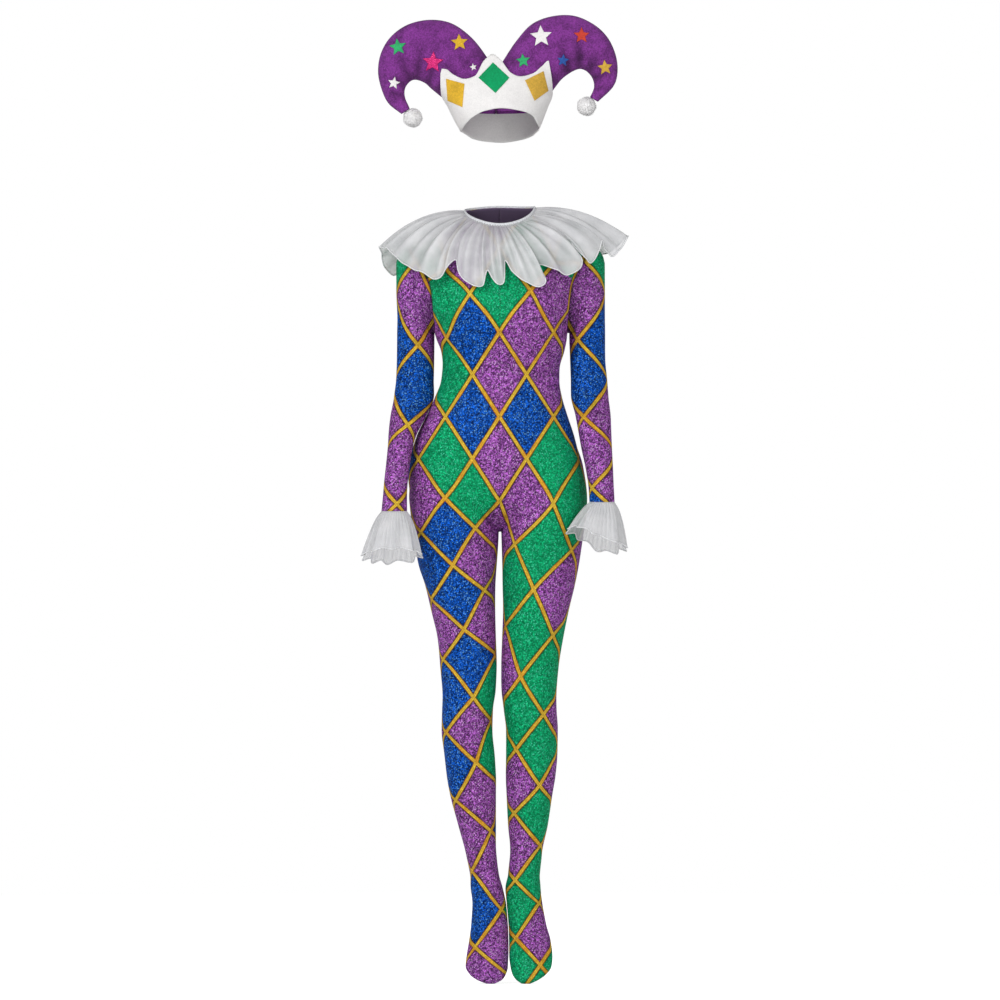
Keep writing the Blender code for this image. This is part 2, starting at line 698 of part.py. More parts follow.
def cuff_rows(side, angle, along, inward):
    """Points of a cuff ruffle, by angle round the wrist and by share of the way to its hem."""
    z = WRIST_Z[side]
    x, half, y, depth = (float(v) for v in arm_row(side, np.array(z)))
    s = along[:, None]
    width = smooth_rows(CUFF_PROFILE, along)[:, :1]
    flute = CUFF_FLUTE_DEPTH * s * np.sin(CUFF_FLUTES * angle + 0.7 * np.sin(2 * angle))
    width = half + (width - CUFF_PROFILE[0, 1]) + flute - inward
    deep = depth + (width - half) * CUFF_DEPTH_SHARE - inward * (1 - CUFF_DEPTH_SHARE)
    drift_x, drift_y = CUFF_DRIFT[side]
    out = width * np.cos(angle) * np.ones_like(s)
    forward = deep * np.sin(angle) * np.ones_like(s)
    tilt_x, tilt_y = CUFF_HEM_TILT[side]
    height = z - SEAT_GAP - s * (CUFF_LENGTH[side] - tilt_x * out - tilt_y * forward)
    return np.stack([x + drift_x * s + out, y + drift_y * s - forward, height], axis=-1)


# ---------------------------------------------------------------- the hat


def crown_depth(x, z, facing):
    """How far the crown's outer face stands from the hat's middle plane."""
    right, left, front, back = np.moveaxis(smooth_rows(CROWN, z), -1, 0)
    across = np.clip((x - (right + left) / 2) / ((left - right) / 2), -1, 1)
    return np.where(facing < 0, front, back) * np.sqrt(1 - across**2)


def horn_rows(side, facing, inward):
    """Points of a horn's front or back piece, from its root inside the crown to its tip."""
    rows = HORNS[side]
    t = (1 - np.cos(math.pi * np.linspace(0, 1, HORN_COLUMNS + 1))) / 2
    concave, convex = rows[:, None, 0:2], rows[:, None, 2:4]
    flat = concave + t[None, :, None] * (convex - concave)
    lens = np.sqrt(4 * t * (1 - t))
    opened = np.sqrt(t * (2 - t))
    share = rows[:, 5:6]
    depth = rows[:, 4:5] * ((1 - share) * lens + share * opened)
    points = np.stack([flat[..., 0], facing * depth, flat[..., 1]], axis=-1)
    return inset(points, facing, inward)


def grid_normals(points, facing):
    """Unit vectors square to a grid of points, on the side that faces front or back."""
    along = np.gradient(points, axis=0)
    across = np.gradient(points, axis=1)
    n = unit(np.cross(along, across))
    turned = np.where(n[..., 1:2] * facing < 0, -n, n)
    flat = np.abs(n[..., 1:2]) < 0.05
    return np.where(flat, unit(turned + np.array([0, 0.6 * facing, 0])), turned)


def inset(points, facing, inward):
    """The grid moved in from its outer face by a wall's thickness."""
    if not inward:
        return points
    return points - inward * grid_normals(points, facing)


def crown_rows(facing, horns):
    """Outer and inner points of the crown's front or back piece, laid over the horns."""
    middle_z = 280.0
    right, left = smooth_rows(CROWN, np.array(middle_z))[:2]
    centre, half = (right + left) / 2, (left - right) / 2
    u = np.arccos(np.clip((centre - CROWN_TOP[:, 0]) / half, -1, 1)) / math.pi
    u[0], u[-1] = 0.0, 1.0

    def place(z):
        low, high = np.moveaxis(smooth_rows(CROWN, z)[..., :2], -1, 0)
        return (low + high) / 2 - (high - low) / 2 * np.cos(math.pi * u)

    column = 1 if facing < 0 else 2
    top, bottom = np.full(len(u), middle_z), np.full(len(u), 190.0)
    for _ in range(12):
        top = np.interp(place(top), CROWN_TOP[:, 0], CROWN_TOP[:, 1])
        bottom = np.interp(place(bottom), CROWN_BOTTOM[:, 0], CROWN_BOTTOM[:, column])
    share = np.linspace(0, 1, CROWN_ROWS + 1)[:, None]
    z = (1 - share) * bottom + share * top
    x = np.array([place(row) for row in z])
    depth = crown_depth(x, z, facing)
    for i in range(depth.shape[0]):
        for j in range(depth.shape[1]):
            depth[i, j] = max(depth[i, j], horn_reach(horns, x[i, j], z[i, j], facing))
    outer = np.stack([x, facing * depth, z], axis=-1)
    outer[:, 0, 1] += facing * SEAM_SHIFT
    outer[:, -1, 1] += facing * SEAM_SHIFT
    return outer


def horn_reach(horns, x, z, facing):
    """How far out the crown has to stand to clear the horns near a place."""
    far = 0.0
    for dx, dz in ((0, 0), (8, 0), (-8, 0), (0, 14), (0, -14)):
        hit = horns.ray_cast(Vector((x + dx, facing * 300, z + dz)), Vector((0, -facing, 0)))
        if hit[0] is not None and hit[0].y * facing > 0:
            far = max(far, hit[0].y * facing)
    return far + CROWN_OVER_HORN + FELT_WALL if far > 0 else 0.0


# ---------------------------------------------------------------- meshes


def new_object(name, vertices, faces, material, smooth=True):
    """A mesh object from points in millimetres, with its faces turned outward."""
    mesh = bpy.data.meshes.new(name)
    mesh.from_pydata([tuple(v) for v in np.asarray(vertices) * MM], [], faces)
    mesh.validate()
    bm_faces_outward(mesh)
    if smooth:
        mesh.shade_smooth()
        mesh.set_sharp_from_angle(angle=math.radians(50))
    mesh.materials.append(material)
    obj = bpy.data.objects.new(name, mesh)
    bpy.context.scene.collection.objects.link(obj)
    return obj


def bm_faces_outward(mesh):
    """Turns a closed mesh's faces outward."""
    points = np.array([v.co for v in mesh.vertices])
    volume = 0.0
    for polygon in mesh.polygons:
        corners = points[list(polygon.vertices)]
        for k in range(1, len(corners) - 1):
            volume += np.dot(corners[0], np.cross(corners[k], corners[k + 1]))
    if volume < 0:
        mesh.flip_normals()


def wall(name, outer, inner, material, closed=False):
    """A solid wall between two grids of points. A closed wall runs right round."""
    rows, columns = outer.shape[:2]
    count = rows * columns
    vertices = np.concatenate([outer.reshape(-1, 3), inner.reshape(-1, 3)])
    last = columns if closed else columns - 1

    def at(i, j):
        return i * columns + j % columns

    faces = []
    for i in range(rows - 1):
        for j in range(last):
            a, b, c, d = at(i, j), at(i, j + 1), at(i + 1, j + 1), at(i + 1, j)
            faces += [(a, b, c), (a, c, d)]
            faces += [(count + a, count + c, count + b), (count + a, count + d, count + c)]
    for j in range(last):
        for i, flip in ((0, True), (rows - 1, False)):
            a, b = at(i, j), at(i, j + 1)
            quad = (a, b, count + b, count + a)
            faces.append(quad[::-1] if flip else quad)
    if not closed:
        for i in range(rows - 1):
            for j, flip in ((0, False), (columns - 1, True)):
                a, b = at(i, j), at(i + 1, j)
                quad = (a, b, count + b, count + a)
                faces.append(quad[::-1] if flip else quad)
    return new_object(name, vertices, faces, material)


def surface_tree(grids):
    """A tree of triangles, in millimetres, to drop appliqués and the crown onto."""
    vertices, faces = [], []
    for grid in grids:
        start = len(vertices)
        rows, columns = grid.shape[:2]
        vertices += [Vector(p) for p in grid.reshape(-1, 3)]
        for i in range(rows - 1):
            for j in range(columns - 1):
                a = start + i * columns + j
                faces += [(a, a + 1, a + columns + 1), (a, a + columns + 1, a + columns)]
    return BVHTree.FromPolygons(vertices, faces)


def drop(tree, x, z, lift):
    """The point of the front surface behind x, z, lifted square off it."""
    ahead = Vector((0, 1, 0))
    hits = []
    for dx, dz in ((0, 0), (3, 0), (-3, 0), (0, 3), (0, -3)):
        hit = tree.ray_cast(Vector((x + dx, -400, z + dz)), ahead)[0]
        hits.append(hit if hit is not None else hits[0])
    across, up = hits[1] - hits[2], hits[3] - hits[4]
    normal = across.cross(up)
    normal.normalize()
    if normal.y > 0:
        normal.negate()
    return hits[0] + lift * normal


def room_behind(tree, vertices, faces):
    """The least distance, straight back, from a mesh's triangles to the surface behind them."""
    steps = 8
    least = math.inf
    for a, b, c in ((vertices[i] for i in face) for face in faces):
        for i in range(steps + 1):
            for j in range(steps + 1 - i):
                p = (a * i + b * j + c * (steps - i - j)) / steps
                hit = tree.ray_cast(Vector((p.x, -400, p.z)), Vector((0, 1, 0)))[0]
                if hit is not None:
                    least = min(least, hit.y - p.y)
    return least


def applique(name, tree, rings, material):
    """A thin felt shape on a surface. rings run from the middle to the outline, as lists of x, z."""
    count = len(rings[-1])
    vertices, faces, back = [], [], []
    for lift in (APPLIQUE_WALL, 0):
        vertices.append(drop(tree, *rings[0][0], lift))
        for ring in rings[1:]:
            vertices += [drop(tree, x, z, lift) for x, z in ring]
    layer = 1 + count * (len(rings) - 1)
    for base, turned in ((0, False), (layer, True)):
        for j in range(count):
            k = (j + 1) % count
            found = [(base, base + 1 + j, base + 1 + k)]
            for r in range(len(rings) - 2):
                a, b = base + 1 + r * count + j, base + 1 + r * count + k
                c, d = b + count, a + count
                found += [(a, d, c), (a, c, b)]
            if turned:
                back += found
            faces += [face[::-1] for face in found] if turned else found
    edge = 1 + count * (len(rings) - 2)
    for j in range(count):
        k = (j + 1) % count
        faces.append((edge + j, layer + edge + j, layer + edge + k, edge + k))
    settle = room_behind(tree, vertices, back) - APPLIQUE_GAP
    points = np.array([tuple(v) for v in vertices]) + np.array([0, settle, 0])
    return new_object(name, points, faces, material, smooth=False)


def scaled_rings(outline, shares):
    """Rings of a shape, from its middle to its outline."""
    outline = np.array(outline, float)
    middle = outline.mean(axis=0)
    return [[tuple(middle)]] + [[tuple(middle + s * (p - middle)) for p in outline] for s in shares]


def new_material(name, colour, roughness=0.9, alpha=1.0):
    """A cloth material with a Principled shader."""
    material = bpy.data.materials.new(name)
    material.use_nodes = True
    shader = material.node_tree.nodes["Principled BSDF"]
    shader.inputs["Base Color"].default_value = (*colour, 1)
    shader.inputs["Roughness"].default_value = roughness
    shader.inputs["Metallic"].default_value = 0.0
    shader.inputs["Alpha"].default_value = alpha
    return material


# ---------------------------------------------------------------- the costume


SIDES = ((RIGHT, "right"), (LEFT, "left"))
FACINGS = ((-1, "front"), (1, "back"))


def build_suit():
    """Four body panels, from shoulder to toes, and two sleeves."""
    for side, side_name in SIDES:
        for facing, facing_name in FACINGS:
            name = f"bodysuit_{facing_name}_{side_name}"
            outer, inner = panel_grids(side, facing)
            wall(name, outer, inner, new_material(name, COLOURS["glitter"], 0.6))
        outer, inner = sleeve_grids(side)
        name = f"sleeve_{side_name}"
        wall(name, outer, inner, new_material(name, COLOURS["glitter"], 0.6), closed=True)


def build_collar():
    """The elastic band round the neck and the fluted strip sewn to it."""
    angle = 2 * math.pi * np.arange(BAND_STEPS) / BAND_STEPS
    inner, outer = band_rings(angle)
    wall("collar_band", outer, inner, new_material("collar_band", COLOURS["organza"]), closed=True)
    angle = collar_angles()
    along = np.linspace(0, 1, COLLAR_ROWS + 1)
    outer = collar_rows(angle, along, ORGANZA_WALL)
    inner = collar_rows(angle, along, 0.0)
    wall("collar_ruffle", outer, inner, new_material("collar_ruffle", COLOURS["organza"]), closed=True)


def build_cuffs():
    """A gathered ruffle at the end of each sleeve."""
    angle = 2 * math.pi * np.arange(CUFF_COLUMNS) / CUFF_COLUMNS
    along = np.linspace(0, 1, CUFF_ROWS + 1)
    for side, side_name in SIDES:
        name = f"cuff_ruffle_{side_name}"
        outer = cuff_rows(side, angle, along, 0.0)
        inner = cuff_rows(side, angle, along, ORGANZA_WALL)
        wall(name, outer, inner, new_material(name, COLOURS["organza"]), closed=True)


def build_hat():
    """Two horns with pompons, a crown with three points, and the felt shapes on them."""
    outers = {}
    for side, side_name in SIDES:
        for facing, facing_name in FACINGS:
            name = f"hat_horn_{side_name}_{facing_name}"
            outer = horn_rows(side, facing, 0.0)
            inner = horn_rows(side, facing, FELT_WALL)
            for grid in (outer, inner):
                join_edges(grid, side, facing)
            outers[side, facing] = outer
            wall(name, outer, inner, new_material(name, COLOURS["purple_felt"]))
    for facing, facing_name in FACINGS:
        horns = surface_tree([outers[side, facing] for side, _ in SIDES])
        outer = crown_rows(facing, horns)
        inner = inset(outer, facing, FELT_WALL)
        flatten_sides(outer, inner, facing)
        name = f"hat_crown_{facing_name}"
        wall(name, outer, inner, new_material(name, COLOURS["white_felt"]))
        if facing < 0:
            build_appliques(surface_tree([outer]), horns)
    for side, side_name in SIDES:
        x, z = POMPONS[side]
        build_pompon(f"hat_pompon_{side_name}", x, z)


def join_edges(grid, side, facing):
    """Draws a horn piece's edges back from the piece that it is sewn to."""
    for column in (0, -1):
        y = grid[:, column, 1]
        grid[:, column, 1] = facing * np.maximum(facing * y, SEAM_SHIFT)
    opened = HORNS[side][:, 5] > 0
    middle = HORNS[side][opened, 2]
    grid[opened, -1, 0] = middle + side * SEAM_SHIFT


def flatten_sides(outer, inner, facing):
    """Keeps the crown's side edges clear of the other layer."""
    for grid in (outer, inner):
        y = grid[:, (0, -1), 1]
        grid[:, (0, -1), 1] = facing * np.maximum(facing * y, SEAM_SHIFT)


def build_appliques(crown, horns):
    """Three diamonds on the crown and the stars on the horns."""
    for name, corners in CROWN_DIAMONDS.items():
        corners = np.array(corners, float)
        outline = [
            tuple(a + (b - a) * t)
            for a, b in zip(corners, np.roll(corners, -1, axis=0))
            for t in (0, 1 / 3, 2 / 3)
        ]
        colour = COLOURS["green_felt" if name.endswith("centre") else "gold_felt"]
        rings = scaled_rings(outline, (0.5, 1.0))
        applique(name, crown, rings, new_material(name, colour))
    for name, x, z, radius, turn, colour in STARS:
        outline = []
        for k in range(10):
            angle = math.radians(90 + turn + 36 * k)
            reach = radius * (STAR_INNER_SHARE if k % 2 else 1.0)
            outline.append((x + reach * math.cos(angle), z + reach * math.sin(angle)))
        rings = scaled_rings(outline, (0.5, 1.0))
        applique(name, horns, rings, new_material(name, colour))


def build_pompon(name, x, z):
    """A fluffy ball at the tip of a horn."""
    bpy.ops.mesh.primitive_ico_sphere_add(subdivisions=2, radius=POMPON_RADIUS * MM)
    pompon = bpy.context.object
    pompon.name = name
    pompon.location = (x * MM, 0, z * MM)
    pompon.data.shade_smooth()
    pompon.data.materials.append(new_material(name, COLOURS["pompon"], 1.0))


def main():
    for obj in list(bpy.data.objects):
        bpy.data.objects.remove(obj)
    build_suit()
    build_collar()
    build_cuffs()
    build_hat()


main()
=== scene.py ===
"""Harlequin clown costume, modelled and finished for a studio render.

The set is a footed stretch catsuit with a gold lattice over glitter knit, a fluted organza collar on an
elastic band, two organza cuff ruffles and a two-horned felt jester hat. It stands as it does when worn,
with nobody inside. Lengths in the tables are millimetres. The front faces -Y, the wearer's right is -X,
up is +Z, and the origin is the middle of the neck opening.
"""

from __future__ import annotations

import logging
import math
from dataclasses import dataclass
from enum import Enum
from itertools import product
from typing import Callable

import bpy
import numpy as np
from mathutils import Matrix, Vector
from mathutils.bvhtree import BVHTree


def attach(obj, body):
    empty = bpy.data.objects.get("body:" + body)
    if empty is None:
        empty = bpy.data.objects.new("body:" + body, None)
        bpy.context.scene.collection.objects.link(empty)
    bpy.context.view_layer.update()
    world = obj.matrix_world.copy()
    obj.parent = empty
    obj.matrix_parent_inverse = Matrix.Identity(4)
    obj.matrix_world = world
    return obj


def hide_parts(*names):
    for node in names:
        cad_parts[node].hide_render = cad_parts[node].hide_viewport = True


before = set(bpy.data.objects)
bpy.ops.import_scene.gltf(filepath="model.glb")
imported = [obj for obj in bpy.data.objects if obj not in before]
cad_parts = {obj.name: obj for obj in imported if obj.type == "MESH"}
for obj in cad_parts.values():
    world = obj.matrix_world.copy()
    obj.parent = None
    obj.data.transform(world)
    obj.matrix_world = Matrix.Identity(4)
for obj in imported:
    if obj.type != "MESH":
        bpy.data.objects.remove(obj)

logging.basicConfig(level=logging.INFO, format="%(levelname)s %(message)s")
log = logging.getLogger("costume")

MM = 0.001
NEARLY_UP = np.array([0.02, 0.03, 1.0])  # along no hem
SUFFIX = "_cloth"  # sets a piece's name apart from that of the solid it stands for
Array = np.ndarray
Object = bpy.types.Object
Field = Callable[[Array], Array]


class Named(Enum):
    """A direction with the word that stands for it in a piece's name."""

    @property
    def word(self) -> str:
        """The name in small letters."""
        return self.name.lower()


class Side(Named):
    """The wearer's right and left, as the sign of X."""

    RIGHT = -1
    LEFT = 1


class Facing(Named):
    """Front and back, as the sign of Y."""

    FRONT = -1
    BACK = 1


class Dye(Enum):
    """Colours of the glitter knit, as hex sRGB."""

    PURPLE = "#884A96"
    GREEN = "#0C9560"
    BLUE = "#0C469C"


def by_side(right: object, left: object) -> dict[Side, object]:
    """A value for each side."""
    return {Side.RIGHT: right, Side.LEFT: left}


# ---------- sizes and tables

NECKLINE_FRONT_Z, NECKLINE_BACK_Z = -22.0, 16.0
NECKLINE_SIDE_Z = by_side(8.0, 14.0)
ARMPIT_Z = -236.0
ARMHOLE_CENTRE = (4.0, -150.0)  # y and z of the point that the armhole is drawn round
SLEEVE_CAP_END_Z = -264.0
CROTCH_Z = -633.0
WRIST_Z = by_side(-592.0, -574.0)
TORSO_BOTTOM_Z = -634.0
TOE_Z = -1533.0
TOE_ROWS = (-1532.0, -1530.0, -1526.5)  # heights of the close rows round the toes
ARM_TOP_Z = -102.0
ARM_CAP_RISE = 40.0
ARM_AIM_Z = -115.0  # rays to a sleeve's cap start no higher
TORSO = np.array([
    # z, centre_x, half_width, front_y, side_y, back_y
    (60, 0, 54, -44, 4, 50), (20, 0, 66, -48, 4, 55), (5, 0, 69, -53, 4, 61), (-15, 0, 85, -61, 5, 71),
    (-40, 0, 120, -73, 7, 82), (-60, 0, 154, -83, 7, 88), (-85, 0, 168, -93, 6, 93),
    (-120, 0, 164, -107, 4, 97), (-160, 0, 153, -119, 0, 97), (-200, 1, 143, -124, -4, 94),
    (-236, 2, 133, -118, -6, 88), (-250, 3.5, 130, -113, -6, 84), (-272, 5.5, 123.5, -105, -6, 79),
    (-306, 2.2, 117.3, -96, -6, 72), (-332, 0.5, 118.5, -92, -5, 70), (-364, -3, 127, -92, -4, 74),
    (-400, -5.8, 140.5, -95, -2, 86), (-440, -9, 157, -98, 2, 100), (-487, -10.5, 170, -99, 6, 114),
    (-530, -6.8, 176.8, -96, 8, 120), (-570, -4, 173, -84, 8, 106), (-592, -2, 140, -70, 8, 88),
    (-608, -1, 105, -56, 7, 70), (-620, 0, 72, -40, 6, 50), (-628, 0, 42, -24, 5, 30),
    (-634, 0, 6, -2, 4, 10),
])
TORSO_SQUARENESS = 2.3
# The blend's width at the crotch, and how far it reaches out and up
CROTCH_FILL, CROTCH_REACH, CROTCH_FADE = 22.0, 60.0, 110.0
SHOULDER_FILL = 30.0  # the width of the blend between torso and arm
TORSO_RELEASE = 80.0  # how far the torso is held off a sleeve below its cap
SHOULDER_AIM_Z = -95.0  # rays to the shoulders start no higher
CHEST_AXIS_Y = 4.0  # y of the line inside the chest that rays start from
AXIS_CHANGE = (500.0, 560.0)  # depths between which the rays' axis moves from half the torso to the leg
HALF_TURN_RAYS = 181
RAY_STEPS, RAY_HALVINGS = 46, 14
RAY_REACH, NECK_REACH, SHOULDER_REACH, ARM_REACH = 300.0, 200.0, 260.0, 120.0
ARMHOLE_RAYS, ARMHOLE_REACH = 241, 190.0
LEGS = np.array([
    # z, right_x, right_half, left_x, left_half, front_y, side_y, back_y
    (-440, -84, 60, 84, 60, -70, 5, 80), (-500, -90, 80, 88, 78, -88, 8, 104),
    (-560, -94.3, 87.8, 90.5, 84, -93, 8, 112), (-600, -90.7, 88.3, 87.3, 85.7, -93, 6, 106),
    (-640, -88.3, 85.7, 84.8, 82.2, -91, 4, 98), (-700, -84.7, 78.3, 81.2, 76.8, -86, 2, 90),
    (-740, -79.5, 70.5, 77.5, 72.5, -82, 0, 84), (-790, -73.7, 64.3, 72, 66, -76, -2, 76),
    (-850, -66.2, 58.3, 65, 61, -68, -4, 66), (-900, -63.2, 56.8, 60.2, 57.8, -63, -4, 60),
    (-950, -62, 53.5, 58.2, 55.3, -60, -2, 55), (-990, -65, 51, 60.5, 53, -57, 0, 52),
    (-1030, -66, 51, 64, 52, -52, 4, 57), (-1080, -61, 50.5, 63.5, 51.5, -44, 8, 66),
    (-1120, -57.5, 49.5, 61.5, 50, -38, 12, 69), (-1160, -54, 46, 59, 46, -33, 14, 68),
    (-1220, -46, 38, 56, 40, -24, 18, 62), (-1280, -37.5, 30.5, 52, 32, -16, 22, 58),
    (-1320, -31, 29, 48, 32, -13, 24, 58), (-1345, -27, 32, 46.2, 35.3, -18, 22, 62),
    (-1380, -21.5, 34, 49.5, 36, -31, 12, 66), (-1400, -21, 35.5, 52.2, 36.8, -41, 2, 60),
    (-1420, -21, 37, 55, 38, -52, -8, 42), (-1450, -22.5, 39.5, 59.7, 41.8, -68, -26, 12),
    (-1480, -25, 42, 61.6, 43.4, -84, -46, -12), (-1500, -26.5, 42.5, 61.8, 41.2, -93, -62, -30),
    (-1515, -24.5, 36.5, 58.5, 34, -99, -74, -46), (-1526, -21, 25, 54.5, 22, -101, -82, -60),
    (-1533, -19, 9, 52, 9, -96, -86, -76),
])
LEG_SQUARENESS = 2.15
ARMS = np.array([
    # z, right_x, right_half, left_x, left_half, side_y, half_depth
    (-102, -172, 36, 176, 34, 8, 43), (-150, -173, 34.5, 178.5, 31.5, 8, 41),
    (-200, -170.5, 35, 177, 33, 9, 40), (-240, -168.5, 37.5, 174.5, 36, 10, 39),
    (-290, -169, 37.5, 175.5, 35.3, 9, 38), (-330, -170.2, 37.8, 178, 36.5, 6, 38),
    (-364, -172, 40, 179.5, 37.5, -5, 38), (-400, -182.3, 36.2, 185.7, 35.3, -22, 37),
    (-440, -194.5, 28.2, 190, 32.5, -38, 34), (-465, -199, 25, 192.7, 30.8, -46, 31),
    (-508, -204.6, 23.7, 198.2, 27.3, -57, 28), (-545, -208.3, 23.7, 201.7, 25.3, -66, 26),
    (-600, -211, 26, 204.5, 25, -78, 27),
])
ARMHOLE = np.array([
    # height, outward
    (-60, 0), (0, 0), (36, 3.5), (88, 9), (131, 26), (174, 52), (210, 80),
])
COLLAR_LIFT = 17.0  # how far the strip bows up between the neck and its hem
COLLAR_CLEARANCE = 5.0
COLLAR_HEM = np.array([
    # angle from the wearer's left round the front, then x, y, z
    (3, 256, 8, -44), (12, 240, -14, -70), (20, 222, -30, -84), (25, 208, -38, -70), (29, 204, -44, -52),
    (33, 198, -52, -70), (39, 179, -66, -99), (42.5, 169, -70, -89), (45.5, 155, -72, -73),
    (48, 143, -72, -58), (50.5, 149, -78, -72), (53.5, 161, -84, -94), (56, 160, -90, -107),
    (60, 136, -98, -122), (65, 112, -104, -113), (71, 77, -104, -103), (76, 90, -122, -137),
    (79, 80, -126, -146), (84, 54, -126, -138), (90, 25, -120, -116), (94, 10, -114, -94),
    (98, 8, -126, -137), (101, -4, -130, -141), (104, -16, -126, -127), (107, -24, -120, -113),
    (112, -33, -130, -143), (118, -58, -130, -141), (123, -79, -120, -122), (128, -88, -106, -92),
    (133, -107, -114, -114), (138, -124, -108, -132), (144, -150, -94, -120), (151, -178, -70, -108),
    (158, -204, -46, -90), (165, -222, -24, -71), (174, -240, 0, -66), (184, -236, 22, -78),
    (192, -232, 40, -102), (200, -212, 62, -120), (207, -190, 78, -98), (214, -184, 92, -128),
    (223, -150, 112, -140), (231, -116, 118, -108), (238, -112, 130, -142), (247, -72, 140, -146),
    (254, -44, 134, -112), (261, -36, 144, -146), (270, 4, 148, -150), (278, 28, 138, -112),
    (285, 44, 144, -144), (294, 84, 136, -142), (302, 104, 122, -106), (309, 128, 122, -136),
    (318, 164, 102, -132), (326, 186, 84, -88), (334, 210, 68, -78), (343, 230, 48, -66),
    (351, 246, 28, -50),
], float)
CUFF_PROFILE = np.array([
    # along, half_width
    (0, 26), (0.16, 36), (0.42, 46), (0.7, 54), (1, 61),
])
CUFF_DEPTH_SHARE = 0.82
CUFF_LENGTH = by_side(88.0, 86.0)
CUFF_DRIFT = by_side((-5.0, -24.0), (-11.0, -24.0))  # x and y from wrist to hem
CUFF_INNER_RISE = by_side(0.0, 26.0)  # how much shorter the cuff is beside the body
# The rise of the hem per mm outward and forward
CUFF_HEM_TILT = by_side((0.02, 0.27), (-0.07, 0.27))
CROWN = np.array([
    # z, right_x, left_x, front_depth, back_depth
    (140, -70, 70, 98, 101), (166, -79, 77, 97, 100), (186, -90, 85, 94, 97), (215, -104.5, 96, 88, 91),
    (242, -118, 105.5, 79, 81), (262, -119, 104.5, 71, 73), (278, -119, 102.5, 64, 65),
    (292, -116, 100, 57, 58), (307, -112, 97.5, 50, 51), (322, -108, 95, 44, 45),
])
CROWN_TOP = np.array([
    # x, z of the pointed edge
    (-121, 285), (-116, 291), (-108, 290), (-93, 279), (-70, 270), (-50, 276), (-32, 307), (-15, 320),
    (2, 308), (22, 282), (40, 275), (65, 281), (84, 296), (97, 307), (103, 300),
])
CROWN_BOTTOM = np.array([
    # x, front_z, back_z
    (-90, 166, 166), (-80, 167, 167), (-68, 181, 162), (-56, 192, 155), (-31, 205, 150), (3, 210.5, 148),
    (44, 205, 153), (66, 196, 160), (76, 180, 168), (83, 170, 170), (90, 168, 168),
])
HORNS = {
    # concave_x, concave_z, convex_x, convex_z from the crown to the tip
    Side.RIGHT: np.array([
        (-87, 206, -8, 206), (-103, 228, -8, 248), (-117, 236, -8, 284), (-126, 243, -25, 314),
        (-138, 253, -56, 354), (-149, 263, -96, 383), (-162, 269, -140, 390.5), (-173, 270, -184, 381),
        (-182, 265, -218, 357), (-189, 255, -238, 324), (-191, 244, -244, 287), (-189, 232, -237, 252),
        (-184, 221, -223, 223), (-180.5, 213, -197, 202),
    ]),
    Side.LEFT: np.array([
        (82, 206, -8, 206), (93, 228, -8, 248), (102, 243, -8, 284), (111, 256, 9, 313),
        (122, 270, 34, 350), (134, 280, 64, 382), (147, 288, 104, 397.5), (160, 292, 148, 398.5),
        (172, 288, 188, 381), (182, 278, 216, 354), (187, 267, 232, 318), (188, 256, 235, 284),
        (185, 246, 226, 256), (180, 236, 196, 226.5),
    ]),
}
HORN_DEPTHS = np.array([
    # half_depth and open_share, for both horns
    (84, 1.0), (72, 0.78), (57, 0.3), (46, 0), (38, 0), (34, 0), (31, 0), (28.5, 0), (26, 0), (24, 0),
    (21, 0), (17.5, 0), (14, 0), (9.5, 0),
])
POMPONS = by_side((-174.4, 194.2), (173.2, 217.2))
CROWN_DIAMONDS = {
    # top, outer, bottom and inner corner as x, z
    "hat_diamond_centre": ((-14, 303), (19, 272), (-9, 241), (-43, 272)),
    "hat_diamond_right": ((-108, 271), (-71, 260), (-75, 213), (-105, 227)),
    "hat_diamond_left": ((87, 286), (97, 247), (69, 226), (50, 267)),
}

# ---------- reading tables


def cubics(x: Array, y: Array, slope: Array, at: Array) -> Array:
    """Reads cubics through rows y at keys x, with a slope at each row, held at the ends beyond them.

    Args:
        x: The rows' keys, rising.
        y: The rows' values.
        slope: The curve's slope at each row.
        at: Where to read.

    Returns:
        The values at each key, along a last axis.
    """
    key = np.clip(at, x[0], x[-1])
    i = np.clip(np.searchsorted(x, key, side="right") - 1, 0, len(x) - 2)
    step = (x[i + 1] - x[i])[..., None]
    t = (key - x[i])[..., None] / step
    return (
        (2 * t**3 - 3 * t**2 + 1) * y[i]
        + (t**3 - 2 * t**2 + t) * step * slope[i]
        + (3 * t**2 - 2 * t**3) * y[i + 1]
        + (t**3 - t**2) * step * slope[i + 1]
    )


def smooth_rows(table: Array, key: Array) -> Array:
    """Reads a table between its rows.

    The slope at a row is the harmonic mean of the slopes beside it, so that a curve never overshoots a row.

    Args:
        table: Rows of a key and its values.
        key: Where to read.

    Returns:
        The values at each key, along a last axis.
    """
    rows = table[np.argsort(table[:, 0])]
    x, y = rows[:, 0], rows[:, 1:]
    slope = np.diff(y, axis=0) / np.diff(x)[:, None]
    both, total = slope[:-1] * slope[1:], slope[:-1] + slope[1:]
    bend = np.where(both > 0, 2 * both / np.where(both > 0, total, 1.0), 0.0)
    return cubics(x, y, np.vstack([slope[:1], bend, slope[-1:]]), key)


def through(rows: Array, at: Array, period: float = 0.0) -> Array:
    """A round curve through a table's rows, by cubics with Catmull-Rom slopes.

    Args:
        rows: Rows of a key and its values, in the key's order.
        at: Where to read.
        period: The key's period for a closed curve, or 0 for an open one.

    Returns:
        The values at each key, along a last axis.
    """
    if period:
        turn = period * np.eye(1, rows.shape[1])
        rows = np.vstack([rows[-2:] - turn, rows, rows[:2] + turn])
    return cubics(rows[:, 0], rows[:, 1:], np.gradient(rows[:, 1:], rows[:, 0], axis=0), at)


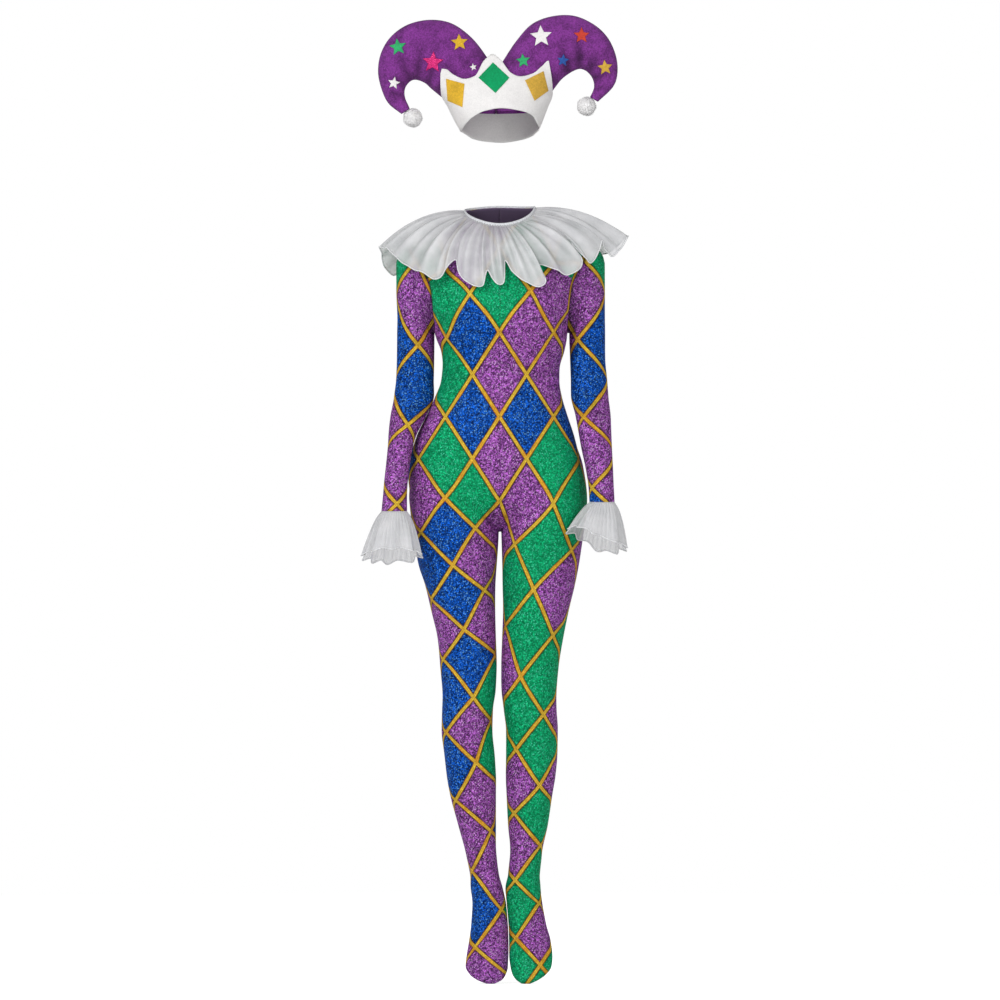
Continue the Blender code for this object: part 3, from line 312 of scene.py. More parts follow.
def ease(value: Array, start: float, end: float) -> Array:
    """A smooth step, 3t^2 - 2t^3, from 0 before start to 1 after end."""
    t = np.clip((value - start) / (end - start), 0, 1)
    return t * t * (3 - 2 * t)


def stacked(*parts: Array | float) -> Array:
    """Points or vectors from their coordinates."""
    return np.stack(np.broadcast_arrays(*parts), axis=-1)


def round_angles(count: int) -> Array:
    """Even angles right round, without the last."""
    return np.linspace(0, 2 * math.pi, count, endpoint=False)


def level_ray(angle: Array) -> Array:
    """Level unit vectors, by angle from the wearer's left round the front."""
    return stacked(np.cos(angle), -np.sin(angle), 0.0)


def length(v: Array) -> Array:
    """The length of each vector."""
    return np.linalg.norm(v, axis=-1)


def unit(v: Array) -> Array:
    """Vectors scaled to length 1."""
    return v / np.maximum(np.linalg.norm(v, axis=-1, keepdims=True), 1e-9)


# ---------- the form that the worn suit takes


def oval_field(
    dx: Array, half_width: Array, dy: Array, front: Array, back: Array, power: float
) -> Array:
    """Roughly the distance outside an oval (|x|/w)^p + (|y|/d)^p = 1 whose front and back depths differ."""
    depth = np.where(dy < 0, front, back)
    norm = (np.abs(dx / half_width) ** power + np.abs(dy / depth) ** power) ** (1 / power)
    return (norm - 1) * np.minimum(half_width, (front + back) / 2)


def torso_field(p: Array) -> Array:
    """The torso: negative inside, positive outside."""
    x, half, front, side, back = np.moveaxis(smooth_rows(TORSO, p[..., 2]), -1, 0)
    field = oval_field(p[..., 0] - x, half, p[..., 1] - side, side - front, back - side, TORSO_SQUARENESS)
    return np.maximum(field, TORSO_BOTTOM_Z - p[..., 2])


def leg_row(side: Side, z: Array) -> tuple[Array, ...]:
    """Centre x, half width, front, side and back y of a leg at height z."""
    c = smooth_rows(LEGS, np.asarray(z, float))
    first = 0 if side is Side.RIGHT else 2
    return c[..., first], c[..., first + 1], c[..., 4], c[..., 5], c[..., 6]


def leg_field(side: Side, p: Array) -> Array:
    """One leg: negative inside, positive outside."""
    x, half, front, middle, back = leg_row(side, p[..., 2])
    dx, dy = p[..., 0] - x, p[..., 1] - middle
    field = oval_field(dx, half, dy, middle - front, back - middle, LEG_SQUARENESS)
    return np.maximum(field, p[..., 2] - LEGS[0, 0])


def arm_row(side: Side, z: Array) -> tuple[Array, ...]:
    """Centre x, half width, centre y and half depth of an arm at height z."""
    c = smooth_rows(ARMS, np.asarray(z, float))
    first = 0 if side is Side.RIGHT else 2
    return c[..., first], c[..., first + 1], c[..., 4], c[..., 5]


def arm_field(side: Side, p: Array) -> Array:
    """One arm, closed above by a rounded shoulder cap."""
    x, half, y, depth = arm_row(side, np.minimum(p[..., 2], ARM_TOP_Z))
    above = np.maximum(p[..., 2] - ARM_TOP_Z, 0) / ARM_CAP_RISE
    norm = np.sqrt(((p[..., 0] - x) / half) ** 2 + ((p[..., 1] - y) / depth) ** 2 + above**2)
    return (norm - 1) * half


def blend(a: Array, b: Array, width: Array) -> Array:
    """The union of two fields, min(a, b) - h^2 w / 4 with h = max(w - |a - b|, 0) / w."""
    width = np.maximum(width, 1e-3)
    h = np.maximum(width - np.abs(a - b), 0) / width
    return np.minimum(a, b) - h * h * width / 4


def lower_field(p: Array) -> Array:
    """Torso and both legs, filled in at the crotch."""
    near = np.exp(-((p[..., 0] / CROTCH_REACH) ** 2)) * ease(p[..., 2], CROTCH_Z, CROTCH_Z + CROTCH_FADE)
    width = CROTCH_FILL * near
    legs = blend(leg_field(Side.RIGHT, p), leg_field(Side.LEFT, p), width)
    return blend(torso_field(p), legs, width)


def shoulder_blend(z: Array) -> Array:
    """How widely the torso and an arm are blended at height z."""
    return SHOULDER_FILL * ease(z, ARMPIT_Z + 8, ARMPIT_Z + 75)


def upper_field(p: Array) -> Array:
    """Torso and both arms, filled in round the armholes."""
    arms = np.minimum(arm_field(Side.RIGHT, p), arm_field(Side.LEFT, p))
    return blend(torso_field(p), arms, shoulder_blend(p[..., 2]))


def sleeve_field(side: Side, p: Array) -> Array:
    """One arm, with the torso blended in above the armpit only."""
    fading = TORSO_RELEASE * ease(-p[..., 2], -(ARMPIT_Z + 70), -(ARMPIT_Z + 20))
    return blend(torso_field(p) + fading, arm_field(side, p), shoulder_blend(p[..., 2]))


def first_crossing(field: Field, start: Array, direction: Array, reach: float) -> Array:
    """Finds where rays from inside first leave a field, by even steps and then by halving.

    Args:
        field: Negative inside, positive outside.
        start: Points inside.
        direction: Unit vectors, one for each start.
        reach: How far to look, in mm.

    Returns:
        The crossing points.
    """
    steps = np.linspace(0, reach, RAY_STEPS)
    shape = (len(steps),) + (1,) * start[..., :1].ndim
    outside = field(start[None] + steps.reshape(shape) * direction[None]) > 0
    outside[0] = False
    hit = np.maximum(np.argmax(outside, axis=0), 1)
    low, high = steps[hit - 1], steps[hit]
    for _ in range(RAY_HALVINGS):
        middle = (low + high) / 2
        out = field(start + middle[..., None] * direction) > 0
        high = np.where(out, middle, high)
        low = np.where(out, low, middle)
    return start + ((low + high) / 2)[..., None] * direction


def gradient(field: Field, p: Array) -> Array:
    """Unit vectors straight out of a field's surface, by central differences over 1 mm."""
    moves = 0.5 * np.eye(3)
    return unit(np.stack([field(p + m) - field(p - m) for m in moves], axis=-1))


# ---------- curves and grids


def resample(points: Array, count: int) -> Array:
    """count + 1 points at even distances along a line of points."""
    run = np.concatenate([[0], np.cumsum(length(np.diff(points, axis=0)))])
    at = np.linspace(0, run[-1], count + 1)
    return np.stack([np.interp(at, run, points[:, k]) for k in range(3)], axis=1)


def half_rows(side: Side, facing: Facing, z: Array, columns: int) -> Array:
    """Level rows of a body panel, from the centre or inner-leg seam to the side seam.

    A leg's row is its oval r = ((|cos|/w)^p + (|sin|/d)^p)^(-1/p). Above the crotch each row is where rays
    from the half's axis leave the blended body, cut off at the centre seam.

    Args:
        side: The panel's side.
        facing: Front or back.
        z: Height of each row.
        columns: Number of faces along a row.

    Returns:
        Points, shaped (rows, columns + 1, 3).
    """
    angle = np.linspace(0, math.pi, HALF_TURN_RAYS)
    cos, sin = side.value * np.cos(angle), facing.value * np.sin(angle)
    found = []
    below = z < CROTCH_Z - 0.5
    if below.any():
        x, half, front, middle, back = (v[:, None] for v in leg_row(side, z[below]))
        depth = middle - front if facing is Facing.FRONT else back - middle
        p = LEG_SQUARENESS
        r = (np.abs(cos / half) ** p + np.abs(sin / depth) ** p) ** (-1 / p)
        found += list(stacked(x + r * cos, middle + r * sin, z[below][:, None]))
    above = z[~below]
    if len(above):
        leg_x, _, _, leg_y, _ = leg_row(side, above)
        torso_x, half, _, torso_y, _ = np.moveaxis(smooth_rows(TORSO, above), -1, 0)
        share = ease(-above, *AXIS_CHANGE)
        axis_x = share * leg_x + (1 - share) * (torso_x + side.value * 0.5 * half)
        axis_y = share * leg_y + (1 - share) * torso_y
        start = stacked(axis_x, axis_y, above)[:, None] + np.zeros((1, len(angle), 3))
        ray = stacked(cos, sin, 0.0)[None] + np.zeros_like(start)
        for line in first_crossing(lower_field, start, ray, RAY_REACH):
            inside = side.value * line[:, 0]
            cut = int(np.argmax(inside <= 0)) if (inside <= 0).any() else len(line) - 1
            before, after = line[cut - 1], line[cut]
            gone = before[0] / (before[0] - after[0]) if before[0] != after[0] else 0.0
            edge = before + gone * (after - before)
            found.append(np.vstack([line[:cut], [0.0, edge[1], edge[2]]]))
    return np.array([resample(line[::-1], columns) for line in found])


def armhole_x(side: Side, z: Array) -> Array:
    """Where the armhole seam lies at height z."""
    x, half = smooth_rows(TORSO, np.array(ARMPIT_Z))[:2]
    return x + side.value * (half + smooth_rows(ARMHOLE, z - ARMPIT_Z)[..., 0])


def armhole_line(side: Side, facing: Facing, count: int) -> Array:
    """Half the armhole seam, from the armpit up the front or back to the shoulder.

    Args:
        side: The armhole's side.
        facing: Its front or back half.
        count: Number of steps along it.

    Returns:
        Points, shaped (count + 1, 3).
    """
    angle = np.linspace(0, math.pi, ARMHOLE_RAYS)
    steps = np.arange(0, ARMHOLE_REACH + 0.5, 0.5)
    y = ARMHOLE_CENTRE[0] + facing.value * steps[:, None] * np.sin(angle)
    z = ARMHOLE_CENTRE[1] - steps[:, None] * np.cos(angle)
    points = stacked(armhole_x(side, z), y, z)
    hit = np.maximum(np.argmax(upper_field(points) > 0, axis=0), 1)
    line = points[hit, np.arange(len(angle))]
    armpit = half_rows(side, facing, np.array([ARMPIT_Z]), 8)[0, -1]
    return resample(smooth_line(np.vstack([armpit, line[line[:, 2] > ARMPIT_Z + 1]])), count)


def smooth_line(points: Array) -> Array:
    """Evens out a line's small steps by a running mean, with its ends held."""
    out = points.copy()
    for _ in range(6):
        out[1:-1] = (out[:-2] + 2 * out[1:-1] + out[2:]) / 4
    return out


def neckline(angle: Array) -> Array:
    """Points of the suit's neckline, by angle from the wearer's left round the front.

    Args:
        angle: Where to read.

    Returns:
        The points.
    """
    low = np.where(np.sin(angle) > 0, NECKLINE_FRONT_Z, NECKLINE_BACK_Z)
    right, left = NECKLINE_SIDE_Z[Side.RIGHT], NECKLINE_SIDE_Z[Side.LEFT]
    high = right + (left - right) * (1 + np.cos(angle)) / 2
    z = high + (low - high) * np.abs(np.sin(angle)) ** 1.5
    return first_crossing(torso_field, within(0.0, z), level_ray(angle), NECK_REACH)


def within(x: Array, z: Array) -> Array:
    """Points inside the chest at x, z."""
    return stacked(x, CHEST_AXIS_Y, z)


def onto_body(points: Array) -> Array:
    """Points pushed along rays from inside the chest onto the suit's skin."""
    start = within(0.6 * points[..., 0], np.minimum(points[..., 2], SHOULDER_AIM_Z))
    return first_crossing(upper_field, start, unit(points - start), SHOULDER_REACH)


def chest_rows(side: Side, facing: Facing, columns: int, rows: int) -> Array:
    """Rows of a panel from the armpit up to the neckline and shoulder seam.

    The grid is a Coons patch: the two blends between opposite edges, less the blend between the four
    corners, P = (1-v)B(u) + vT(u) + (1-u)L(v) + uR(v) - corners. It's then laid on the body.

    Args:
        side: The panel's side.
        facing: Front or back.
        columns: Number of faces along a row.
        rows: Number of faces up the panel.

    Returns:
        Points, shaped (rows + 1, columns + 1, 3).
    """
    u, v = np.linspace(0, 1, columns + 1), np.linspace(0, 1, rows + 1)
    bottom = half_rows(side, facing, np.array([ARMPIT_Z]), columns)[0]
    outer = armhole_line(side, facing, rows)
    neck_columns = columns // 3
    quarter = np.linspace(math.pi / 2, 0 if side is Side.LEFT else math.pi, neck_columns + 1)
    neck = neckline(-facing.value * quarter)
    seam = onto_body(np.linspace(neck[-1], outer[-1], columns - neck_columns + 1))
    seam[0], seam[-1] = neck[-1], outer[-1]
    top = np.vstack([neck, seam[1:]])
    z = np.linspace(ARMPIT_Z, neck[0, 2], rows + 1)
    forward = np.array([0.0, facing.value, 0.0]) + np.zeros((rows + 1, 1))
    centre = first_crossing(upper_field, within(0.0, z), forward, NECK_REACH)
    centre[0], centre[-1] = bottom[0], neck[0]
    a, b = u[None, :, None], v[:, None, None]
    grid = (1 - b) * bottom[None] + b * top[None] + (1 - a) * centre[:, None] + a * outer[:, None]
    corners = (1 - a) * (1 - b) * bottom[0] + a * (1 - b) * bottom[-1]
    skin = onto_body(grid - corners - (1 - a) * b * top[0] - a * b * top[-1])
    skin[0], skin[-1], skin[:, 0], skin[:, -1] = bottom, top, centre, outer
    return skin


def grid_normals(points: Array) -> Array:
    """Unit vectors square to a grid of points."""
    return unit(np.cross(np.gradient(points, axis=0), np.gradient(points, axis=1)))


# ---------- meshes


def linear(colour: str) -> tuple[float, float, float]:
    """A hex sRGB colour as linear RGB."""
    parts = [int(colour[k : k + 2], 16) / 255 for k in (1, 3, 5)]
    return tuple(c / 12.92 if c <= 0.04045 else ((c + 0.055) / 1.055) ** 2.4 for c in parts)


def rgba(tone: float | str | tuple[float, float, float]) -> tuple[float, ...]:
    """A grey level, a hex sRGB colour or linear RGB, as linear RGBA."""
    if isinstance(tone, str):
        tone = linear(tone)
    return (*(tone if isinstance(tone, tuple) else (tone,) * 3), 1.0)


def shaded(colour: str, by: float) -> tuple[float, float, float]:
    """A hex sRGB colour as linear RGB, made darker or lighter."""
    return tuple(min(1.0, by * c) for c in linear(colour))


def grid_faces(rows: int, columns: int, closed: bool = False) -> Array:
    """Corner indices of a grid's quads, right round if it's closed."""
    i, j = np.meshgrid(np.arange(rows - 1), np.arange(columns if closed else columns - 1), indexing="ij")
    k = (j + 1) % columns
    corners = (i * columns + j, i * columns + k, (i + 1) * columns + k, (i + 1) * columns + j)
    return np.stack(corners, axis=-1).reshape(-1, 4)


def new_mesh(name: str, points: Array, faces: Array) -> Object:
    """Makes a smooth mesh object.

    Args:
        name: The piece's name.
        points: Vertices in mm, shaped (n, 3).
        faces: Corner indices, shaped (faces, corners).

    Returns:
        The object, at the origin.
    """
    mesh = bpy.data.meshes.new(f"{name}{SUFFIX}")
    count, corners = faces.shape
    mesh.vertices.add(len(points))
    mesh.vertices.foreach_set("co", (points * MM).astype(np.float32).ravel())
    mesh.loops.add(count * corners)
    mesh.loops.foreach_set("vertex_index", faces.astype(np.int32).ravel())
    mesh.polygons.add(count)
    mesh.polygons.foreach_set("loop_start", np.arange(count, dtype=np.int32) * corners)
    mesh.update(calc_edges=True)
    mesh.validate()
    mesh.shade_smooth()
    obj = bpy.data.objects.new(f"{name}{SUFFIX}", mesh)
    bpy.context.scene.collection.objects.link(obj)
    return obj


def turned(points: Array, faces: Array, outward: Array) -> Array:
    """Quads in the winding that faces the way that outward points."""
    diagonals = points[faces[:, 2]] - points[faces[:, 0]], points[faces[:, 3]] - points[faces[:, 1]]
    facing = np.einsum("ij,ij->i", np.cross(*diagonals), outward[faces[:, 0]])
    return faces if facing.sum() > 0 else faces[:, ::-1]


def facing_mesh(name: str, points: Array, faces: Array, outward: Array) -> Object:
    """A smooth mesh with its faces turned outward.

    Args:
        name: The piece's name.
        points: Points in mm, shaped (..., 3).
        faces: Corner indices of quads.
        outward: Rough outward vectors, one for each point or one for all.

    Returns:
        The object, at the origin.
    """
    flat = points.reshape(-1, 3)
    return new_mesh(name, flat, turned(flat, faces, np.broadcast_to(outward, points.shape).reshape(-1, 3)))


def sheet_mesh(name: str, grid: Array, outward: Array, closed: bool = False) -> Object:
    """A smooth mesh of a grid, right round along its rows if it's closed."""
    return facing_mesh(name, grid, grid_faces(*grid.shape[:2], closed), outward)


def ring_mesh(name: str, grid: Array, outward: Array) -> Object:
    """A smooth mesh of a grid that closes on itself both ways."""
    rows, columns = grid.shape[:2]
    return facing_mesh(name, grid, grid_faces(rows + 1, columns, closed=True) % (rows * columns), outward)


def point_values(obj: Object, name: str, values: Array) -> None:
    """Stores a number at each vertex, for a material to read."""
    layer = obj.data.attributes.new(name, "FLOAT", "POINT")
    layer.data.foreach_set("value", values.astype(np.float32).ravel())


def corner_pairs(obj: Object, u: Array, v: Array) -> Array:
    """The values of two grids at each face's corners."""
    corner = np.empty(len(obj.data.loops), np.int32)
    obj.data.loops.foreach_get("vertex_index", corner)
    return stacked(u.ravel()[corner], v.ravel()[corner])


def store_uv(obj: Object, name: str, uv: Array) -> None:
    """Stores a UV layer."""
    obj.data.uv_layers.new(name=name).data.foreach_set("uv", uv.astype(np.float32).ravel())


def thicken(obj: Object, wall: float, reverse: bool = False) -> None:
    """Gives a sheet its thickness, inward from its face, with the second material on its reverse.

    Args:
        obj: The sheet.
        wall: Its thickness in mm.
        reverse: Whether its reverse has the second material.
    """
    solid = obj.modifiers.new("wall", "SOLIDIFY")
    solid.thickness = wall * MM
    solid.offset = -1
    solid.use_even_offset = False
    solid.material_offset = 1 if reverse else 0


def tube(name: str, line: Array, radius: float, sides: int = 6) -> Object:
    """A closed ring of cord along a closed line of points.

    Each section is a circle in the plane of two vectors square to the line:
    P = C + r (cos t U + sin t V).

    Args:
        name: The cord's name.
        line: Points along it, in mm.
        radius: Its radius in mm.
        sides: Number of faces round it.

    Returns:
        The cord.
    """
    along = unit(np.roll(line, -1, axis=0) - np.roll(line, 1, axis=0))
    across = unit(np.cross(along, NEARLY_UP))
    upward = np.cross(across, along)
    turn = round_angles(sides)[:, None]
    ring = np.cos(turn)[None] * across[:, None] + np.sin(turn)[None] * upward[:, None]
    return ring_mesh(name, line[:, None] + radius * ring, ring)


# ---------- the lattice of the glitter knit

# A count, a, rises by 1 from each falling line of the lattice to the next, and b from each rising line to
# the next. Cell (i, j) lies between lines i and i + 1 of one and j and j + 1 of the other.
LATTICE_ORIGIN = (-1.0, -236.0)  # x and z where lines a = 0 and b = 0 cross
LATTICE_STEP = (54.0, 84.0)  # half a diamond's width and height on the torso
LATTICE_CHANGE = (530.0, 596.0)  # depths between which the torso's lattice gives way to a leg's
LEG_MIDDLE_Z = -470.0  # below it the cloth is unrolled from the middle of the leg
# Where the knit is pulled aside, the lattice moves with it: x and z of a place, dx, dz and reach
LATTICE_PULLS = (
    (-60, -157, -5, -5.6, 45), (-108, -247, 2, -11, 35), (-105, -110, 0, -36, 38), (61, -151, 7.8, 0, 45),
    (101, -103, 0, -26, 38),
)
COUNT_SHIFT = 20  # keeps the stored counts above 0
PITCH_UNIT = 100.0  # mm
PITCH_RANGE = (20.0, 400.0)  # mm
EDGE_SHADE = 5.0  # mm, how far the painted shade reaches beside an armhole
FULL_FOLD = 4.0  # mm of fold depth at which the painted shade is at its darkest
ARMHOLE_COUNT = 1.07  # the count a along the left armhole, where one line follows it
ARMHOLE_LIFT = 0.34  # how far the count b rises beside it
ARMHOLE_SINK = (1.5, 1.1, 0.6, 0.2)  # how deep a sleeve's first rows lie in its seam
ARMHOLE_PANEL_SINK = (0.2, 0.7, 1.3)  # and a panel's last columns
DYES = list(Dye)
P, G, B = Dye.PURPLE, Dye.GREEN, Dye.BLUE
# Cells whose dye breaks the chequer of purple with blue on the right half and green on the left
TORSO_CELLS = {
    (-3, 0): G, (-2, -1): P, (-2, 0): G, (-1, -1): G, (0, -1): P, (-2, 1): P, (1, -2): P, (-1, 1): G,
    (-1, 2): P, (1, 0): B, (2, -1): B, (0, 2): G, (2, 0): G, (-1, 3): B, (0, 3): P, (1, 2): G, (2, 1): P,
}
LEG_CELLS = {
    Side.RIGHT: {
        (1, 3): B, (2, 3): P, (2, 4): B, (2, 5): P, (3, 4): P, (3, 5): B, (4, 5): G, (5, 6): G, (5, 8): P,
        (7, 8): G, (7, 10): P,
    },
    Side.LEFT: {
        (3, 1): G, (4, 1): P, (4, 2): G, (5, 1): G, (4, 3): P, (5, 3): G, (8, 6): G, (9, 6): P, (9, 7): G,
        (10, 6): G,
    },
}
# Where lines cross on each half below the waist, as x, z, a, b
LEG_CROSSINGS = {
    Side.RIGHT: np.array([
        (-1, -404, 1, 1), (-109, -404, 0, 2), (-55, -488, 1, 2), (-163, -488, 0, 3), (-1, -572, 2, 2),
        (-110, -562, 1, 3), (-158, -634, 1, 4), (-49, -626, 2, 3), (-94, -700, 2, 4), (-138, -768, 2, 5),
        (-31, -750, 3, 4), (-72, -828, 3, 5), (-114, -888, 3, 6), (-8, -878, 4, 5), (-53, -964, 4, 6),
        (-108, -1034, 4, 7), (-17, -1010, 5, 6), (-48, -1094, 5, 7), (-89, -1170, 5, 8), (-18, -1232, 6, 8),
        (-57, -1312, 6, 9), (3, -1388, 7, 9), (-50, -1461, 7, 10), (17, -1516, 8, 10),
    ], float),
    Side.LEFT: np.array([
        (-1, -404, 1, 1), (107, -404, 2, 0), (53, -488, 2, 1), (161, -488, 3, 0), (-1, -572, 2, 2),
        (106, -578, 3, 1), (29, -658, 3, 2), (143, -670, 4, 1), (67, -748, 4, 2), (10, -821, 4, 3),
        (106, -840, 5, 2), (41, -922, 5, 3), (87, -998, 6, 3), (32, -1068, 6, 4), (124, -1060, 7, 3),
        (79, -1140, 7, 4), (28, -1196, 7, 5), (81, -1261, 8, 5), (30, -1330, 8, 6), (78, -1376, 9, 6),
        (31, -1444, 9, 7), (80, -1496, 10, 7),
    ], float),
}
# Heights where lines cross on each sleeve's front, as z and a + b, and how far inward of the arm's front
# those crossings lie
SLEEVE_CROSSINGS = by_side(
    np.array([(-20, -3), (-92, -2), (-163, -1), (-260.6, 0), (-420, 2), (-577.8, 4), (-735, 6)]),
    np.array([(-5, -3), (-78, -2), (-157, -1), (-249.4, 0), (-404, 2), (-546, 4), (-690, 6)]),
)
SLEEVE_INWARD = by_side(5.0, 21.0)
SLEEVE_STEP = by_side(80.0, 77.0)
CAP_STEP = by_side(61.0, 73.0)
CAP_INNER_STEP = by_side(44.0, 36.0)
SLEEVE_CELLS = {
    # by column and row, where the column is 0 at the front, 1 on the outer side and 2 at the back
    Side.RIGHT: {(0, -2): P, (0, 0): B, (0, 2): P, (0, 4): P, (1, -3): G, (1, -1): B, (1, 1): P, (1, 3): P,
                 (2, -2): G, (2, 0): P, (2, 2): B, (2, 4): P},
    Side.LEFT: {(0, -2): P, (0, 0): B, (0, 2): P, (0, 4): B, (1, -3): G, (1, -1): B, (1, 1): P, (1, 3): P,
                (2, -2): G, (2, 0): P, (2, 2): B, (2, 4): B},
}


class LatticeWarp:
    """A thin-plate spline from places on a leg to the lattice's counts.

    f(p) = sum w_k |p - p_k|^2 log|p - p_k| + c0 + c1 x + c2 z, close to every crossing.
    """

    UNIT = 100.0  # mm
    SMOOTHING = 0.01

    def __init__(self, crossings: Array) -> None:
        """Solves the spline's weights.

        Args:
            crossings: Rows of x, z, a and b.
        """
        self.centres = crossings[:, :2] / self.UNIT
        count = len(crossings)
        system = np.zeros((count + 3, count + 3))
        system[:count, :count] = self._kernel(self.centres) + self.SMOOTHING * np.eye(count)
        system[:count, count] = system[count, :count] = 1
        system[:count, count + 1 :] = self.centres
        system[count + 1 :, :count] = self.centres.T
        self.weights = np.linalg.solve(system, np.vstack([crossings[:, 2:], np.zeros((3, 2))]))

    def _kernel(self, p: Array) -> Array:
        """r^2 log r from each point to each crossing."""
        gap = length(p[..., None, :] - self.centres)
        return gap**2 * np.log(np.maximum(gap, 1e-9))

    def __call__(self, x: Array, z: Array) -> tuple[Array, Array]:
        """The counts a and b at each x, z.

        Args:
            x: Across.
            z: Up.

        Returns:
            The counts a and b.
        """
        p = stacked(x, z) / self.UNIT
        basis = np.concatenate([self._kernel(p), np.ones_like(p[..., :1]), p], axis=-1)
        value = basis @ self.weights
        return value[..., 0], value[..., 1]


def torso_counts(x: Array, z: Array) -> tuple[Array, Array]:
    """The torso's even lattice, a - b = (x - x0) / 54 and a + b = (z0 - z) / 84, with its pulls.

    Args:
        x: Across the cloth.
        z: Up.

    Returns:
        The counts a and b.
    """
    moved_x, moved_z = x.copy(), z.copy()
    for at_x, at_z, dx, dz, reach in LATTICE_PULLS:
        share = np.exp(-((x - at_x) ** 2 + (z - at_z) ** 2) / reach**2)
        moved_x -= share * dx
        moved_z -= share * dz
    across = (moved_x - LATTICE_ORIGIN[0]) / LATTICE_STEP[0]
    down = (LATTICE_ORIGIN[1] - moved_z) / LATTICE_STEP[1]
    return (down + across) / 2, (down - across) / 2


def unrolled(points: Array, side: Side, start: Array) -> Array:
    """How far across each point lies on the cloth.

    That's x where the cloth faces front or back, and arc length where it turns to the side:
    dX = sqrt(dx^2 + g dy^2) with g from 0 where |ny| > 0.45 to 1 where |ny| < 0.25.

    Args:
        points: A panel's grid.
        side: The panel's side.
        start: For each row, the column where X is x.
    """
    normal = np.abs(grid_normals(points)[..., 1])
    g = 1 - ease(normal, 0.25, 0.45)
    g = (g[:, 1:] + g[:, :-1]) / 2
    move = np.diff(points, axis=1)
    step = side.value * np.sqrt(move[..., 0] ** 2 + g * move[..., 1] ** 2)
    run = np.concatenate([np.zeros((len(points), 1)), np.cumsum(step, axis=1)], axis=1)
    rows = np.arange(len(points))
    return run - run[rows, start][:, None] + points[rows, start, 0][:, None]


def line_pitch(points: Array, count: Array) -> Array:
    """The distance in mm between a lattice's lines, 1 / |grad count|, measured along the cloth.

    |grad f|^2 = (G fu^2 - 2 F fu fv + E fv^2) / (E G - F^2), with E, F and G the grid's first form.

    Args:
        points: A panel's grid.
        count: One of its counts.

    Returns:
        The pitch at each point, held within PITCH_RANGE.
    """
    pu, pv = np.gradient(points, axis=1), np.gradient(points, axis=0)
    fu, fv = np.gradient(count, axis=1), np.gradient(count, axis=0)
    e, f, g = (pu * pu).sum(-1), (pu * pv).sum(-1), (pv * pv).sum(-1)
    slope = (g * fu**2 - 2 * f * fu * fv + e * fv**2) / np.maximum(e * g - f * f, 1e-6)
    return np.clip(1 / np.sqrt(np.maximum(slope, 1e-9)), *PITCH_RANGE)


# Folds where the knit gives, as the ends' x, y, z, then depth and width: at the armpits, the waist, the
# crotch, the knees and the ankles, and on the sleeves at the armpits, the elbows and the wrists
CREASES = np.array([
    (-136, -60, -232, -96, -118, -190, 2.4, 8), (-132, -70, -250, -84, -112, -232, 1.8, 7),
    (-134, -84, -205, -112, -112, -150, 1.6, 7), (138, -60, -234, 98, -118, -196, 2.2, 8),
    (134, -72, -254, 92, -110, -240, 1.6, 7), (136, -84, -208, 118, -112, -156, 1.4, 7),
    (-134, 50, -236, -84, 92, -214, 2.0, 9), (136, 50, -236, 86, 92, -214, 2.0, 9),
    (-112, 40, -320, -20, 84, -345, 1.8, 10), (112, 40, -326, 24, 84, -338, 1.8, 10),
    (-114, -40, -318, -56, -94, -330, 1.2, 8), (112, -44, -312, 50, -94, -326, 1.2, 8),
    (-8, -44, -622, -84, -96, -566, 2.2, 8), (-16, -52, -636, -96, -92, -610, 1.8, 8),
    (8, -44, -622, 84, -96, -572, 2.0, 8), (16, -52, -636, 92, -92, -616, 1.6, 8),
    (-3, -50, -614, -24, -72, -588, 2.6, 5), (-3, -36, -624, -36, -78, -606, 2.2, 5),
    (4, -46, -616, 24, -74, -586, 2.0, 5), (-12, -66, -596, -10, -82, -566, 1.6, 5),
    (-12, 84, -610, -124, 96, -590, 3.0, 12), (12, 84, -610, 122, 96, -592, 3.0, 12),
    (-105, 40, -986, -30, 56, -978, 2.0, 7), (-104, 44, -1006, -34, 58, -1000, 1.6, 6),
    (26, 44, -984, 100, 54, -990, 2.0, 7), (30, 44, -1004, 104, 56, -1010, 1.6, 6),
    (-56, 40, -1334, -6, 60, -1342, 1.6, 5), (-56, 42, -1352, -2, 62, -1362, 1.4, 5),
    (20, 46, -1336, 74, 58, -1344, 1.6, 5), (20, 48, -1354, 78, 58, -1364, 1.4, 5),
    (-58, -14, -1352, 4, -24, -1366, 1.6, 5), (18, -14, -1354, 80, -24, -1366, 1.6, 5),
    (-30, -60, -1404, 14, -54, -1396, 1.0, 5), (26, -60, -1402, 78, -54, -1396, 1.0, 5),
], float)
SLEEVE_CREASES = np.array([
    (-140, -10, -244, -176, -32, -218, 2.2, 7), (-138, 22, -250, -172, 44, -226, 2.0, 7),
    (-142, -20, -262, -182, -30, -250, 1.6, 6), (-146, -44, -392, -200, -56, -380, 2.2, 6),
    (-150, -46, -410, -206, -62, -402, 2.6, 6), (-156, -52, -428, -212, -66, -424, 1.8, 6),
    (-206, 6, -376, -170, 22, -392, 1.4, 6), (-220, -70, -500, -184, -78, -512, 1.0, 5),
    (-230, -90, -572, -190, -96, -580, 1.2, 4), (146, -10, -240, 182, -32, -214, 2.2, 7),
    (144, 22, -246, 178, 44, -222, 2.0, 7), (150, -22, -262, 186, -30, -248, 1.6, 6),
    (156, -44, -380, 212, -58, -372, 2.2, 6), (160, -48, -398, 218, -62, -394, 2.4, 6),
    (168, -54, -418, 216, -66, -416, 1.6, 6), (210, 8, -368, 176, 22, -386, 1.4, 6),
    (178, -74, -500, 216, -80, -512, 1.0, 5), (182, -88, -556, 224, -92, -562, 1.2, 4),
], float)


def along_line(points: Array, a: Array, b: Array) -> Array:
    """How far along the line from a to b each point lies, as a share of its length."""
    return (points - a) @ (b - a) / ((b - a) @ (b - a))


